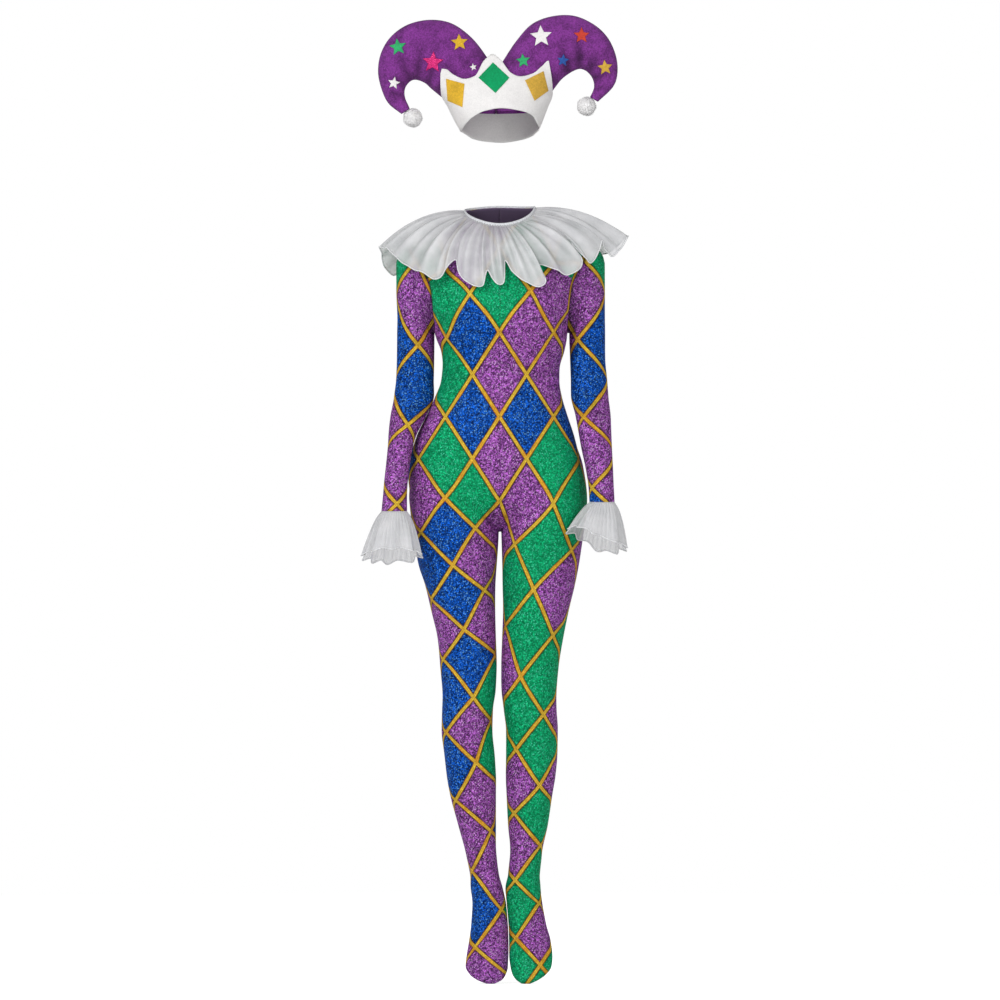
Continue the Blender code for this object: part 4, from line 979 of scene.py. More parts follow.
def creased(points: Array, normals: Array, creases: Array) -> tuple[Array, Array]:
    """Presses folds into a cloth.

    Each moves it in by depth exp(-(d / width)^2) (1 - s^2), with d the distance from the fold's line and s
    the distance along it from its middle as a share of half its length.

    Args:
        points: The cloth's points.
        normals: Unit vectors out of it.
        creases: Rows of a line's two ends, depth and width.

    Returns:
        The moved points, and how deep in a fold each lies, 0 to 1.
    """
    total = np.zeros(points.shape[:-1])
    for row in creases:
        a, b, (depth, width) = row[:3], row[3:6], row[6:]
        along = along_line(points, a, b)
        off = length(points - (a + along[..., None] * (b - a)))
        total = total + depth * np.exp(-((off / width) ** 2)) * np.clip(1 - (2 * along - 1) ** 2, 0, 1)
    return points - total[..., None] * normals, np.clip(total / FULL_FOLD, 0, 1)


def beside(points: Array, edge: Array) -> Array:
    """How near each point is to its point on an edge: exp(-(d / w)^2)."""
    return np.exp(-((length(points - edge) / EDGE_SHADE) ** 2))


@dataclass(frozen=True)
class KnitPanel:
    """One cut piece of the glitter knit: its grid and the lattice's counts on it."""

    name: str
    points: Array
    normals: Array
    a: Array
    b: Array
    dyes: Array  # an index into Dye for each face
    fold: Array  # how deep in a fold or how near an armhole seam each point lies, 0 to 1, for the painted shade

    def build(self, wall: float) -> Object:
        """Makes the piece, with the counts, the pitch and the dye for its material.

        Args:
            wall: The knit's thickness in mm.

        Returns:
            The piece.
        """
        obj = sheet_mesh(self.name, self.points, self.normals)
        store_uv(obj, "lattice", corner_pairs(obj, self.a + COUNT_SHIFT, self.b + COUNT_SHIFT))
        pitch = (line_pitch(self.points, count) / PITCH_UNIT for count in (self.a, self.b))
        store_uv(obj, "pitch", corner_pairs(obj, *pitch))
        colours = np.array([rgba(dye.value) for dye in Dye])
        corners = np.repeat(colours[self.dyes.ravel()], 4, axis=0)
        layer = obj.data.color_attributes.new("dye", "FLOAT_COLOR", "CORNER")
        layer.data.foreach_set("color", corners.astype(np.float32).ravel())
        point_values(obj, "fold", self.fold)
        thicken(obj, wall, reverse=True)
        return obj


def cells(a: Array, b: Array) -> list[Array]:
    """The lattice's cell, i and j, at each face's middle."""
    middles = [(c[1:, 1:] + c[:-1, 1:] + c[1:, :-1] + c[:-1, :-1]) / 4 for c in (a, b)]
    return [np.floor(middle).astype(int) for middle in middles]


def dyed(start: Array, columns: Array, rows: Array, table: dict) -> Array:
    """Each face's dye, as an index into Dye, with a table's cells laid over what's there.

    Args:
        start: Each face's dye before.
        columns: Each face's column of cells.
        rows: Each face's row of cells.
        table: The dye by column and row.

    Returns:
        The dyes.
    """
    out = start.copy()
    for (column, row), dye in table.items():
        out[(columns == column) & (rows == row)] = DYES.index(dye)
    return out


@dataclass
class Catsuit:
    """The suit: four body panels from shoulder to toes, and two set-in sleeves."""

    columns: int = 48
    row_step: float = 5.0
    chest_rows: int = 50
    sleeve_columns: int = 64
    cap_rows: int = 32
    wall: float = 0.8
    seam_groove: float = 0.5
    seam_gap: float = 0.15

    def build(self) -> list[Object]:
        """Makes the six pieces."""
        pieces = [self._panel(side, facing) for facing in Facing for side in Side]
        return pieces + [self._sleeve(side) for side in Side]

    def _panel(self, side: Side, facing: Facing) -> Object:
        """One body panel, from the toes up to the shoulder.

        Args:
            side: The panel's side.
            facing: Front or back.

        Returns:
            The panel.
        """
        rows = round((CROTCH_Z - TOE_Z - 1) / self.row_step)
        legs_z = np.linspace(TOE_Z, CROTCH_Z - 1.0, rows)
        legs_z = np.concatenate([[TOE_Z, *TOE_ROWS], legs_z[legs_z > TOE_ROWS[-1] + 2.5]])
        body_z = np.linspace(CROTCH_Z, ARMPIT_Z, round((ARMPIT_Z - CROTCH_Z) / self.row_step))
        legs = half_rows(side, facing, legs_z, self.columns)
        body = half_rows(side, facing, body_z, self.columns)
        chest = chest_rows(side, facing, self.columns, self.chest_rows)[1:]
        points = np.concatenate([legs, body, chest])
        normals = np.concatenate([
            gradient(lambda p: leg_field(side, p), legs),
            gradient(lower_field, body),
            gradient(upper_field, chest),
        ])
        start = np.zeros(len(points), int)
        low = points[:, 0, 2] < LEG_MIDDLE_Z
        axis = leg_row(side, points[low, 0, 2])[0]
        start[low] = np.argmin(np.abs(points[low, :, 0] - axis[:, None]), axis=1)
        across = unrolled(points, side, start)
        a, b, dyes = self._lattice(side, facing, across, points[..., 2])
        if side is Side.LEFT and facing is Facing.FRONT:
            # One line of the lattice meets the left armhole low down and follows its edge up
            edge, inward = points[:, -1, 2], self.columns - np.arange(self.columns + 1)
            short = ARMHOLE_COUNT - a[:, -1]
            a = a + (ease(edge, -204, -184) * short)[:, None] * np.clip(1 - inward / 14, 0, 1) ** 1.5
            b = b + ARMHOLE_LIFT * ease(edge, -178, -135)[:, None] * np.clip(1 - inward / 20, 0, 1)
        folded, fold = creased(points, normals, CREASES)
        armhole = len(legs) + len(body)
        # The chest rows also get painted shade beside the armhole seam
        fold[armhole:] = np.maximum(fold[armhole:], beside(points, points[:, -1:])[armhole:])
        points = self._seams(folded, normals, len(legs_z))
        panel = KnitPanel(f"bodysuit_{facing.word}_{side.word}", points, normals, a, b, dyes, fold)
        return panel.build(self.wall)

    def _lattice(self, side: Side, facing: Facing, x: Array, z: Array) -> tuple[Array, ...]:
        """The counts and dyes on a panel. A back panel has the other front's lattice, mirrored.

        Args:
            side: The panel's side.
            facing: Front or back.
            x: How far across the cloth each point lies.
            z: Its height.

        Returns:
            The counts a and b at each point, and each face's dye.
        """
        half = side
        if facing is Facing.BACK:
            half, x = (Side.LEFT if side is Side.RIGHT else Side.RIGHT), -x
        share = 1 - ease(-z, *LATTICE_CHANGE)
        torso, leg = torso_counts(x, z), LatticeWarp(LEG_CROSSINGS[half])(x, z)
        a, b = (share * t + (1 - share) * g for t, g in zip(torso, leg))
        i, j = cells(a, b)
        accent = DYES.index(Dye.BLUE if half is Side.RIGHT else Dye.GREEN)
        checks = np.where((i - j) % 2 == 0, DYES.index(Dye.PURPLE), accent)
        return a, b, dyed(checks, i, j, {**TORSO_CELLS, **LEG_CELLS[half]})

    def _seams(self, points: Array, normals: Array, leg_rows: int) -> Array:
        """Sinks the cloth at its side, inner-leg and shoulder seams. The centre seams lie flat.

        Args:
            points: The panel's grid.
            normals: Unit vectors out of it.
            leg_rows: How many of its rows are the leg's.

        Returns:
            The moved points.
        """
        out = points.copy()
        depth = np.zeros(points.shape[:2])
        depth[:, -1], depth[:, -2] = self.seam_groove, 0.3 * self.seam_groove
        depth[-self.chest_rows :, -3:] = ARMHOLE_PANEL_SINK
        depth[:leg_rows, 0] = self.seam_groove
        depth[-1, self.columns // 3 :] = self.seam_groove
        out -= depth[..., None] * normals
        gap = np.where(np.arange(len(points)) < leg_rows, self.seam_gap, 0.02)
        out[:, 0] += gap[:, None] * unit(points[:, 1] - points[:, 0])
        out[:, -1] += self.seam_gap * unit(points[:, -2] - points[:, -1])
        out[-1] += self.seam_gap * unit(points[-2] - points[-1])
        return out

    def _sleeve(self, side: Side) -> Object:
        """One sleeve, from the armhole seam down to the wrist.

        Args:
            side: The sleeve's side.

        Returns:
            The sleeve.
        """
        half = self.sleeve_columns // 2
        front, back = (armhole_line(side, facing, half) for facing in Facing)
        top = np.vstack([front, back[-2::-1]])
        angle = np.linspace(0, 2 * math.pi, self.sleeve_columns + 1)
        turn = stacked(-side.value * np.cos(angle), -np.sin(angle), 0.0)

        def rings(z: Array) -> Array:
            """The arm's oval at each height."""
            x, width, y, depth = (v[:, None] for v in arm_row(side, z))
            across, forward = x + width * turn[:, 0], y + depth * turn[:, 1]
            return stacked(across, forward, z[:, None])

        below = rings(np.array([SLEEVE_CAP_END_Z]))[0]
        share = np.linspace(0, 1, self.cap_rows + 1)[1:-1, None, None]
        target = (1 - share) * top + share * below
        low = np.minimum(target[..., 2], ARM_AIM_Z)
        x, _, y, _ = arm_row(side, low)
        start = stacked(x, y, low)
        cap = first_crossing(lambda p: sleeve_field(side, p), start, unit(target - start), ARM_REACH)
        rows = round((SLEEVE_CAP_END_Z - WRIST_Z[side]) / self.row_step)
        arm = rings(np.linspace(SLEEVE_CAP_END_Z, WRIST_Z[side], rows))
        points = np.concatenate([top[None], cap, arm])
        normals = np.concatenate([
            gradient(upper_field, top[None]),
            gradient(lambda p: sleeve_field(side, p), points[1:]),
        ])
        a, b, dyes = self._sleeve_lattice(side, points)
        out, fold = creased(points, normals, SLEEVE_CREASES)
        # The sleeve's top also gets painted shade beside the armhole seam
        fold = np.maximum(fold, beside(points, points[:1]))
        out[:4] -= np.array(ARMHOLE_SINK)[:, None, None] * normals[:4]
        out[0] += self.seam_gap * unit(points[1] - points[0])
        for column, inner in ((0, 1), (-1, -2)):
            out[:, column] += self.seam_gap * unit(points[:, inner] - points[:, column])
        return KnitPanel(f"sleeve_{side.word}", out, normals, a, b, dyes, fold).build(self.wall)

    def _sleeve_lattice(self, side: Side, points: Array) -> tuple[Array, ...]:
        """The counts and dyes on a sleeve, by arc length from the arm's front and by height.

        Args:
            side: The sleeve's side.
            points: Its grid.

        Returns:
            The counts a and b at each point, and each face's dye.
        """
        move = length(np.diff(points[..., :2], axis=1))
        run = np.concatenate([np.zeros((len(points), 1)), np.cumsum(move, axis=1)], axis=1)
        # Each row's count starts where it passes in front of the arm's middle
        off = side.value * (points[..., 0] - arm_row(side, points[..., 2])[0])
        front = off[:, : self.sleeve_columns // 2 + 1]
        cross = np.argmax(front >= 0, axis=1)
        row = np.arange(len(points))
        before, after = front[row, cross - 1], front[row, cross]
        share = np.clip(-before / (after - before), 0, 1)
        arc = run - (run[row, cross - 1] * (1 - share) + run[row, cross] * share)[:, None]
        cap = ease(points[..., 2], SLEEVE_CAP_END_Z, -163)
        step = (1 - cap) * SLEEVE_STEP[side] + cap * CAP_STEP[side]
        across = (arc + SLEEVE_INWARD[side]) / step
        # The cap bends sharply at the armpit, so there the count runs with x, and the lines rise inward
        inward = np.minimum(off + SLEEVE_INWARD[side], 0) * ease(points[..., 2], SLEEVE_CAP_END_Z, -235)
        inward[:, self.sleeve_columns // 2 + 1 :] = 0
        cap = np.where(inward < 0, ease(points[..., 2], SLEEVE_CAP_END_Z, -235), 0)
        across = (1 - cap) * across + inward / CAP_INNER_STEP[side]
        down = smooth_rows(SLEEVE_CROSSINGS[side], points[..., 2] - 0.7 * inward)[..., 0]
        a, b = (down + side.value * across) / 2, (down - side.value * across) / 2
        i, j = cells(a, b)
        plain = np.full(i.shape, DYES.index(Dye.PURPLE))
        return a, b, dyed(plain, side.value * (i - j), i + j, SLEEVE_CELLS[side])


# ---------- the collar and the cuffs

# The collar's pleats: the angle in degrees, how far each stands up in mm and how wide it is in degrees
COLLAR_PLEATS = np.array([
    (6, 9, 3), (15, 10, 3), (23, 7, 2.5), (36, 11, 3), (42, 7, 2.5), (53, 12, 2.4), (58, 7, 2),
    (65, 10, 2.4), (74.5, 12, 2), (79, 7, 1.8), (84, 10, 2), (88.5, 7, 1.8), (97, 10, 2), (102, 8, 1.6),
    (110, 11, 2), (115, 7, 1.8), (120, 10, 2.2), (125, 7, 1.8), (132, 11, 2.4), (138, 8, 2),
    (145, 11, 2.4), (152, 8, 2.2), (159, 11, 2.6), (167, 8, 2.4), (176, 9, 3), (187, 10, 3), (196, 9, 3),
    (204, 7, 2.4), (212, 10, 3), (222, 9, 3), (236, 10, 3), (245, 8, 3), (259, 10, 3), (267, 7, 2.4),
    (276, 8, 2.4), (286, 10, 3), (295, 8, 3), (310, 10, 3), (319, 8, 3), (332, 10, 3), (342, 8, 3),
    (352, 7, 2.6),
], float)


FULL_PLEAT = 8.5  # mm of a pleat's height that hides what's behind it fully


def add_weave(obj: Object, points: Array) -> None:
    """Lays a weave's coordinates on a closed grid, in mm along its rows and columns.

    Args:
        obj: The sheet made from the grid.
        points: The grid.
    """
    across = length(np.roll(points, -1, axis=1) - points)
    down = length(np.diff(points, axis=0))
    u = np.cumsum(np.broadcast_to(across.mean(axis=0), across.shape), axis=1)
    v = np.concatenate([np.zeros((1, points.shape[1])), np.cumsum(down, axis=0)])
    face = corner_pairs(obj, u, v).reshape(-1, 4, 2)
    # The faces that close the ring run past the end of the first turn
    total = u[0, -1]
    wrapped = (face[..., 0].max(axis=1) - face[..., 0].min(axis=1)) > total / 2
    face[..., 0] += np.where(wrapped[:, None] & (face[..., 0] < total / 2), total, 0)
    store_uv(obj, "weave", face)


def organza_pieces(
    name: str, points: Array, outward: Array, fold: Array, wall: float, hem_radius: float
) -> list[Object]:
    """A closed sheet of organza and the rolled hem along its last row.

    Args:
        name: The sheet's name, with "ruffle" in it where its hem's name has "hem".
        points: The sheet's grid.
        outward: Rough outward vectors.
        fold: How far each point lies in a pleat, 0 to 1.
        wall: The cloth's thickness in mm.
        hem_radius: The hem's radius in mm.

    Returns:
        The sheet and its hem.
    """
    sheet = sheet_mesh(name, points, outward, closed=True)
    add_weave(sheet, points)
    point_values(sheet, "fold", fold)
    thicken(sheet, wall)
    return [sheet, tube(name.replace("ruffle", "hem"), points[-1], hem_radius)]


@dataclass
class Collar:
    """A strip of organza in deep flutes, sewn to a ruched elastic band round the neck."""

    steps: int = 1020
    rows: int = 34
    wall: float = 0.5
    hem_radius: float = 1.3
    band_rise: float = 8.0
    band_depth: float = 3.0
    seat: float = 0.6
    pleats: int = 96

    def pleated(self, angle: Array, s: Array) -> Array:
        """How far the pleats stand up, in mm.

        That's the sum of h exp(-(turn / width)^2), by s^0.5 (1 - 0.6 s) + 0.9 s (1 - s).
        """
        turn = (np.degrees(angle)[:, None] - COLLAR_PLEATS[:, 0] + 180) % 360 - 180
        ridges = (COLLAR_PLEATS[:, 1] * np.exp(-((turn / COLLAR_PLEATS[:, 2]) ** 2))).sum(axis=1)
        return ridges * (s**0.5 * (1 - 0.6 * s) + 0.9 * s * (1 - s))

    def surface(self, angle: Array, along: Array) -> Array:
        """The strip's face, P = (1 - s) neck + s hem + bow, kept clear of the suit.

        Args:
            angle: Columns, by angle from the wearer's left round the front.
            along: Rows, from 0 at the neck to 1 at the hem.

        Returns:
            The strip's grid.
        """
        share = np.abs(np.sin(angle)) ** 1.4
        degrees = np.degrees(angle)
        hem = through(COLLAR_HEM, np.where(degrees < 3, degrees + 360, degrees), 360.0)
        out = level_ray(angle)
        s = along[:, None]
        neck = neckline(angle) + (self.seat + self.band_depth) * out
        gather = 1.3 * np.sin(self.pleats * angle + 2 * np.sin(5 * angle)) * np.exp(-5 * s)
        steep = share[None, :, None]
        normal = unit(np.array([0.0, 0.0, 1.0]) * (1.2 - steep) + out * (0.3 + steep))
        bow = COLLAR_LIFT * 4 * s * (1 - s) + gather + self.pleated(angle, s)
        points = (1 - s[..., None]) * neck + s[..., None] * hem + bow[..., None] * normal
        for _ in range(3):
            room = COLLAR_CLEARANCE * np.minimum(4 * s, 1) - upper_field(points)
            away = gradient(upper_field, points)
            points = points + np.maximum(room, 0)[..., None] * away * (s > 0)[..., None]
        return points

    def build(self) -> list[Object]:
        """Makes the strip, its rolled hem and the band."""
        angle = round_angles(self.steps)
        along = np.linspace(0, 1, self.rows) ** 0.9
        fold = np.clip(self.pleated(angle, along[:, None]) / FULL_PLEAT, 0, 1)
        upward = np.array([0.0, 0.0, 1.0]) + 0.6 * level_ray(angle)
        points = self.surface(angle, along)
        strip = organza_pieces("collar_ruffle", points, upward, fold, self.wall, self.hem_radius)
        return [*strip, self._band()]

    def _band(self) -> Object:
        """The band's section is a flattened round, gathered into fine scallops along it.

        P = edge + (seat + d (0.5 + 0.5 cos t)) out + h sin t up, swelled by 0.5 |sin(n angle)|.
        """
        angle = round_angles(1152)
        edge, out = neckline(angle), level_ray(angle)
        turn = round_angles(14)[:, None]
        swell = 0.55 * np.abs(np.sin(0.5 * self.pleats * angle + 0.5 * np.sin(7 * angle))) ** 0.6 - 0.3
        lean = 1.6 * (1 - np.sin(turn)) / 2
        radial = self.seat + lean + self.band_depth / 2 * (1 + np.cos(turn)) + swell * np.cos(turn)
        height = self.band_rise / 2 * np.sin(turn) * (1 + 0.08 * swell)
        points = edge[None] + radial[..., None] * out[None]
        points[..., 2] += height
        section = np.cos(turn)[..., None] * out[None] + np.sin(turn)[..., None] * np.array([0, 0, 1.0])
        return ring_mesh("collar_band", points, section)


@dataclass
class Cuffs:
    """A bell of organza gathered into each sleeve's end, square to the forearm at its hem."""

    steps: int = 420
    rows: int = 30
    wall: float = 0.5
    hem_radius: float = 1.2
    flutes: int = 10
    flute_depth: float = 5.0
    gathers: int = 40

    def gathered(self, angle: Array) -> Array:
        """The fine gathers at the seam, -1 to 1."""
        return np.sin(self.gathers * angle + 1.5 * np.sin(3 * angle))

    def surface(self, side: Side, angle: Array, along: Array) -> Array:
        """The bell's face: an oval tube that widens by CUFF_PROFILE and waves more towards its hem.

        r = w(s) + flute s^1.3 (1 - 2 |cos(n t / 2)|^1.6) + fine gathers that die out below the seam.

        Args:
            side: The cuff's side.
            angle: Columns, by angle round the forearm.
            along: Rows, from 0 at the seam to 1 at the hem.

        Returns:
            The bell's grid.
        """
        z = WRIST_Z[side]
        x, half, y, depth = (float(v) for v in arm_row(side, np.array(z)))
        s = along[:, None]
        width = smooth_rows(CUFF_PROFILE, along)[:, :1]
        phase = self.flutes * angle / 2 + 0.45 * np.sin(2 * angle + side.value) + 0.3 * np.sin(3 * angle)
        wave = 1 - 2 * np.abs(np.cos(phase)) ** 1.6
        gather = self.gathered(angle) * s**0.5 * np.exp(-2.2 * s)
        flute = self.flute_depth * s**1.1 * wave + 1.8 * gather
        width = half + width - CUFF_PROFILE[0, 1] + flute - 2.5 * s
        deep = depth + (width - half) * CUFF_DEPTH_SHARE
        out, forward = width * np.cos(angle), deep * np.sin(angle)
        drift_x, drift_y = CUFF_DRIFT[side]
        tilt_x, tilt_y = CUFF_HEM_TILT[side]
        fall = CUFF_LENGTH[side] - tilt_x * out - tilt_y * forward + 3.0 * wave * s
        fall = fall - CUFF_INNER_RISE[side] * ease(-out, -25, 50)
        return stacked(x + drift_x * s + out, y + drift_y * s - forward, z - 0.3 - s * fall)

    def build(self) -> list[Object]:
        """Makes each side's bell and its rolled hem."""
        pieces = []
        angle = round_angles(self.steps)
        fold = 0.35 * (0.5 + 0.5 * self.gathered(angle) + np.zeros((self.rows, 1)))
        for side in Side:
            points = self.surface(side, angle, np.linspace(0, 1, self.rows))
            name = f"cuff_ruffle_{side.word}"
            pieces += organza_pieces(name, points, level_ray(angle), fold, self.wall, self.hem_radius)
        return pieces


# ---------- the hat


class Felt(Enum):
    """Colours of the hat's felt, as hex sRGB."""

    PURPLE = "#783285"
    WHITE = "#EAE8E7"
    GREEN = "#059A5E"
    LIGHT_GREEN = "#34AA69"
    GOLD = "#DDB032"
    DEEP_GOLD = "#CFA541"
    MAGENTA = "#D41C74"
    ORANGE = "#C54232"
    BLUE = "#3059A6"


@dataclass(frozen=True)
class Star:
    """A five-pointed felt star on a horn, with its place as seen from the front."""

    name: str
    x: float
    z: float
    radius: float
    turn: float
    felt: Felt


STARS = (
    Star("hat_star_right_green", -204, 335, 18, 8, Felt.LIGHT_GREEN),
    Star("hat_star_right_magenta", -134, 304, 22, -4, Felt.MAGENTA),
    Star("hat_star_right_gold", -81, 344, 18, 4, Felt.GOLD),
    Star("hat_star_right_white", -212, 263, 13, -10, Felt.WHITE),
    Star("hat_star_right_small_white", -53, 294, 8, 12, Felt.WHITE),
    Star("hat_star_left_white", 82, 356, 23, 3, Felt.WHITE),
    Star("hat_star_left_orange", 163, 358, 17, 0, Felt.ORANGE),
    Star("hat_star_left_green", 46, 307, 15, 6, Felt.LIGHT_GREEN),
    Star("hat_star_left_blue", 126, 308, 13, -6, Felt.BLUE),
    Star("hat_star_left_gold", 210, 294, 16, 6, Felt.DEEP_GOLD),
)
STAR_INNER_SHARE = 0.46
BEYOND_HAT = 300.0  # y in front of every face of the hat
DIAMOND_FELTS = {
    "hat_diamond_centre": Felt.GREEN,
    "hat_diamond_right": Felt.GOLD,
    "hat_diamond_left": Felt.DEEP_GOLD,
}
# Soft dents in the horns, where the felt buckles on its inner curve
HORN_CREASES = {
    Side.RIGHT: np.array([
        # x and z at the inner curve, x and z at the far end, depth, width
        (-118, 238, -60, 262, 2.6, 8), (-128, 246, -84, 290, 2.2, 8), (-146, 262, -118, 330, 2.4, 9),
        (-166, 268, -158, 340, 2.6, 9), (-178, 268, -206, 322, 2.4, 9), (-188, 256, -228, 280, 2.0, 8),
        (-188, 238, -232, 246, 1.6, 7),
    ], float),
    Side.LEFT: np.array([
        (104, 246, 60, 268, 2.4, 8), (116, 262, 76, 306, 2.2, 8), (138, 282, 116, 346, 2.4, 9),
        (158, 290, 158, 356, 2.6, 9), (174, 286, 206, 326, 2.4, 9), (184, 270, 224, 288, 2.0, 8),
        (186, 252, 228, 256, 1.6, 7),
    ], float),
}


def spline_rows(rows: Array, count: int) -> Array:
    """A table's rows refined to an even run of count rows, by a round curve over the row number.

    Args:
        rows: The table.
        count: How many rows to make.

    Returns:
        The refined table.
    """
    number = np.arange(len(rows))[:, None]
    out = through(np.hstack([number, rows]), np.linspace(0, len(rows) - 1, count))
    out[:, 5] = np.clip(out[:, 5], 0, 1)
    return out


def front_tree(objects: list[Object]) -> BVHTree:
    """A tree of several pieces' faces, in mm, to lay other pieces on.

    Args:
        objects: The pieces.

    Returns:
        The tree.
    """
    points, faces = [], []
    for obj in objects:
        start = len(points)
        points += [v.co / MM for v in obj.data.vertices]
        faces += [tuple(start + v for v in polygon.vertices) for polygon in obj.data.polygons]
    return BVHTree.FromPolygons(points, faces)


def reaches(tree: BVHTree, x: Array, z: Array, facing: Facing) -> Array:
    """How far from the hat's middle plane its outermost face stands at each x, z, or NaN if none does.

    Args:
        tree: The faces.
        x: Across.
        z: Up.
        facing: Front or back.

    Returns:
        The distances in mm.
    """
    out = np.full(x.shape, np.nan)
    for at in np.ndindex(x.shape):
        start = Vector((x[at], facing.value * BEYOND_HAT, z[at]))
        hit = tree.ray_cast(start, Vector((0, -facing.value, 0)))[0]
        if hit is not None:
            out[at] = abs(hit.y)
    return out


@dataclass
class Horns:
    """Two purple felt horns, each a front and a back piece, joined round their edges."""

    rows: int = 96
    columns: int = 40
    wall: float = 2.0
    seam_groove: float = 0.9
    pinch: float = 4.5  # how far the painted shade reaches from a seam

    def surface(self, side: Side, facing: Facing) -> Array:
        """A horn's face: from its concave edge to its convex edge, y = depth sqrt(4 t (1 - t)).

        Where the two horns join down the middle of the hat it stays open there: y = depth sqrt(t (2 - t)).

        Args:
            side: The horn's side.
            facing: Front or back.

        Returns:
            The piece's grid.
        """
        rows = spline_rows(np.hstack([HORNS[side], HORN_DEPTHS]), self.rows)
        t = (1 - np.cos(math.pi * np.linspace(0, 1, self.columns + 1))) / 2
        concave, convex, share = rows[:, None, 0:2], rows[:, None, 2:4], rows[:, 5:6]
        flat = concave + t[None, :, None] * (convex - concave)
        depth = rows[:, 4:5] * ((1 - share) * np.sqrt(4 * t * (1 - t)) + share * np.sqrt(t * (2 - t)))
        edge = self.seam_groove * (np.exp(-((t / 0.006) ** 2)) + np.exp(-(((1 - t) / 0.006) ** 2)))
        depth = np.maximum(depth - edge, 0.15)
        points = stacked(flat[..., 0], facing.value * depth, flat[..., 1])
        middle = rows[:, 5] > 0.02
        points[middle, -1, 0] += 0.2 * side.value
        return points

    def build(self) -> dict[tuple[Side, Facing], Object]:
        """Makes the four pieces, by side and facing."""
        pieces = {}
        for side, facing in product(Side, Facing):
            points = self.surface(side, facing)
            depth = self._dents(side, points[..., [0, 2]])
            soft = np.clip(np.abs(points[..., 1]) / 12, 0, 1)
            points[..., 1] -= facing.value * depth * soft
            obj = sheet_mesh(f"hat_horn_{side.word}_{facing.word}", points, [0.0, facing.value, 0.0])
            # The rim values are painted shade along the seams and in the dents
            ends = [length(points - end) for end in (points[:, :1], points[:, -1:])]
            seam = np.exp(-((np.minimum(*ends) / self.pinch) ** 2))
            point_values(obj, "rim", np.maximum(seam, np.clip(0.4 * depth * soft, 0, 1)))
            thicken(obj, self.wall)
            pieces[side, facing] = obj
        return pieces

    @staticmethod
    def _dents(side: Side, flat: Array) -> Array:
        """How deep the dents are at each x, z. Each fades out from 0.3 to 1.1 of its length.

        Args:
            side: The horn's side.
            flat: The x and z of each point.

        Returns:
            The depths in mm.
        """
        total = np.zeros(flat.shape[:-1])
        for row in HORN_CREASES[side]:
            a, b, (depth, width) = row[:2], row[2:4], row[4:]
            along = along_line(flat, a, b)
            off = length(flat - (a + np.clip(along, 0, 1)[..., None] * (b - a)))
            total = total + depth * np.exp(-((off / width) ** 2)) * (1 - ease(along, 0.3, 1.1))
        return total


@dataclass
class Crown:
    """The white felt band with three points, a front and a back piece seamed at the sides."""

    columns: int = 150
    rows: int = 26
    wall: float = 2.0
    over_horn: float = 1.2

    def surface(self, facing: Facing, tree: BVHTree) -> Array:
        """The crown's face: on each level an arc y = depth sqrt(1 - c^2), clear of the horns under it.

        Args:
            facing: Front or back.
            tree: The horns' faces.

        Returns:
            The piece's grid.
        """
        u = np.linspace(0, 1, self.columns + 1)

        def place(z: Array) -> Array:
            """The crown's x across at each height."""
            right, left = np.moveaxis(smooth_rows(CROWN, z)[..., :2], -1, 0)
            return (right + left) / 2 - (left - right) / 2 * np.cos(math.pi * u)

        # An edge's height depends on its x, and x on the height, so both are found by turns
        top, low = np.full(len(u), 280.0), np.full(len(u), 190.0)
        column = list(Facing).index(facing)
        for _ in range(16):
            top = 0.5 * top + 0.5 * smooth_rows(CROWN_TOP, place(top))[..., 0]
            low = 0.5 * low + 0.5 * smooth_rows(CROWN_BOTTOM, place(low))[..., column]
        share = np.linspace(0, 1, self.rows + 1)[:, None]
        z = (1 - share) * low + share * top
        x = place(z)
        under = reaches(tree, x, z, facing)
        under = np.where(under > 0, under + self.over_horn + self.wall, 0)
        depth = np.maximum(smooth_rows(CROWN, z)[..., 2 + column] * np.sin(math.pi * u), under)
        for _ in range(3):
            depth[1:-1, 1:-1] = np.maximum(
                (depth[:-2, 1:-1] + depth[2:, 1:-1] + depth[1:-1, :-2] + depth[1:-1, 2:]) / 4,
                under[1:-1, 1:-1],
            )
        depth[:, (0, -1)] = np.maximum(depth[:, (0, -1)], 0.2)
        return stacked(x, facing.value * depth, z)

    def build(self, tree: BVHTree) -> dict[Facing, Object]:
        """Makes the two pieces, laid over the horns.

        Args:
            tree: The horns' faces.

        Returns:
            The pieces, by facing.
        """
        pieces = {}
        for facing in Facing:
            points = self.surface(facing, tree)
            obj = sheet_mesh(f"hat_crown_{facing.word}", points, [0.0, facing.value, 0.0])
            thicken(obj, self.wall)
            pieces[facing] = obj
        return pieces


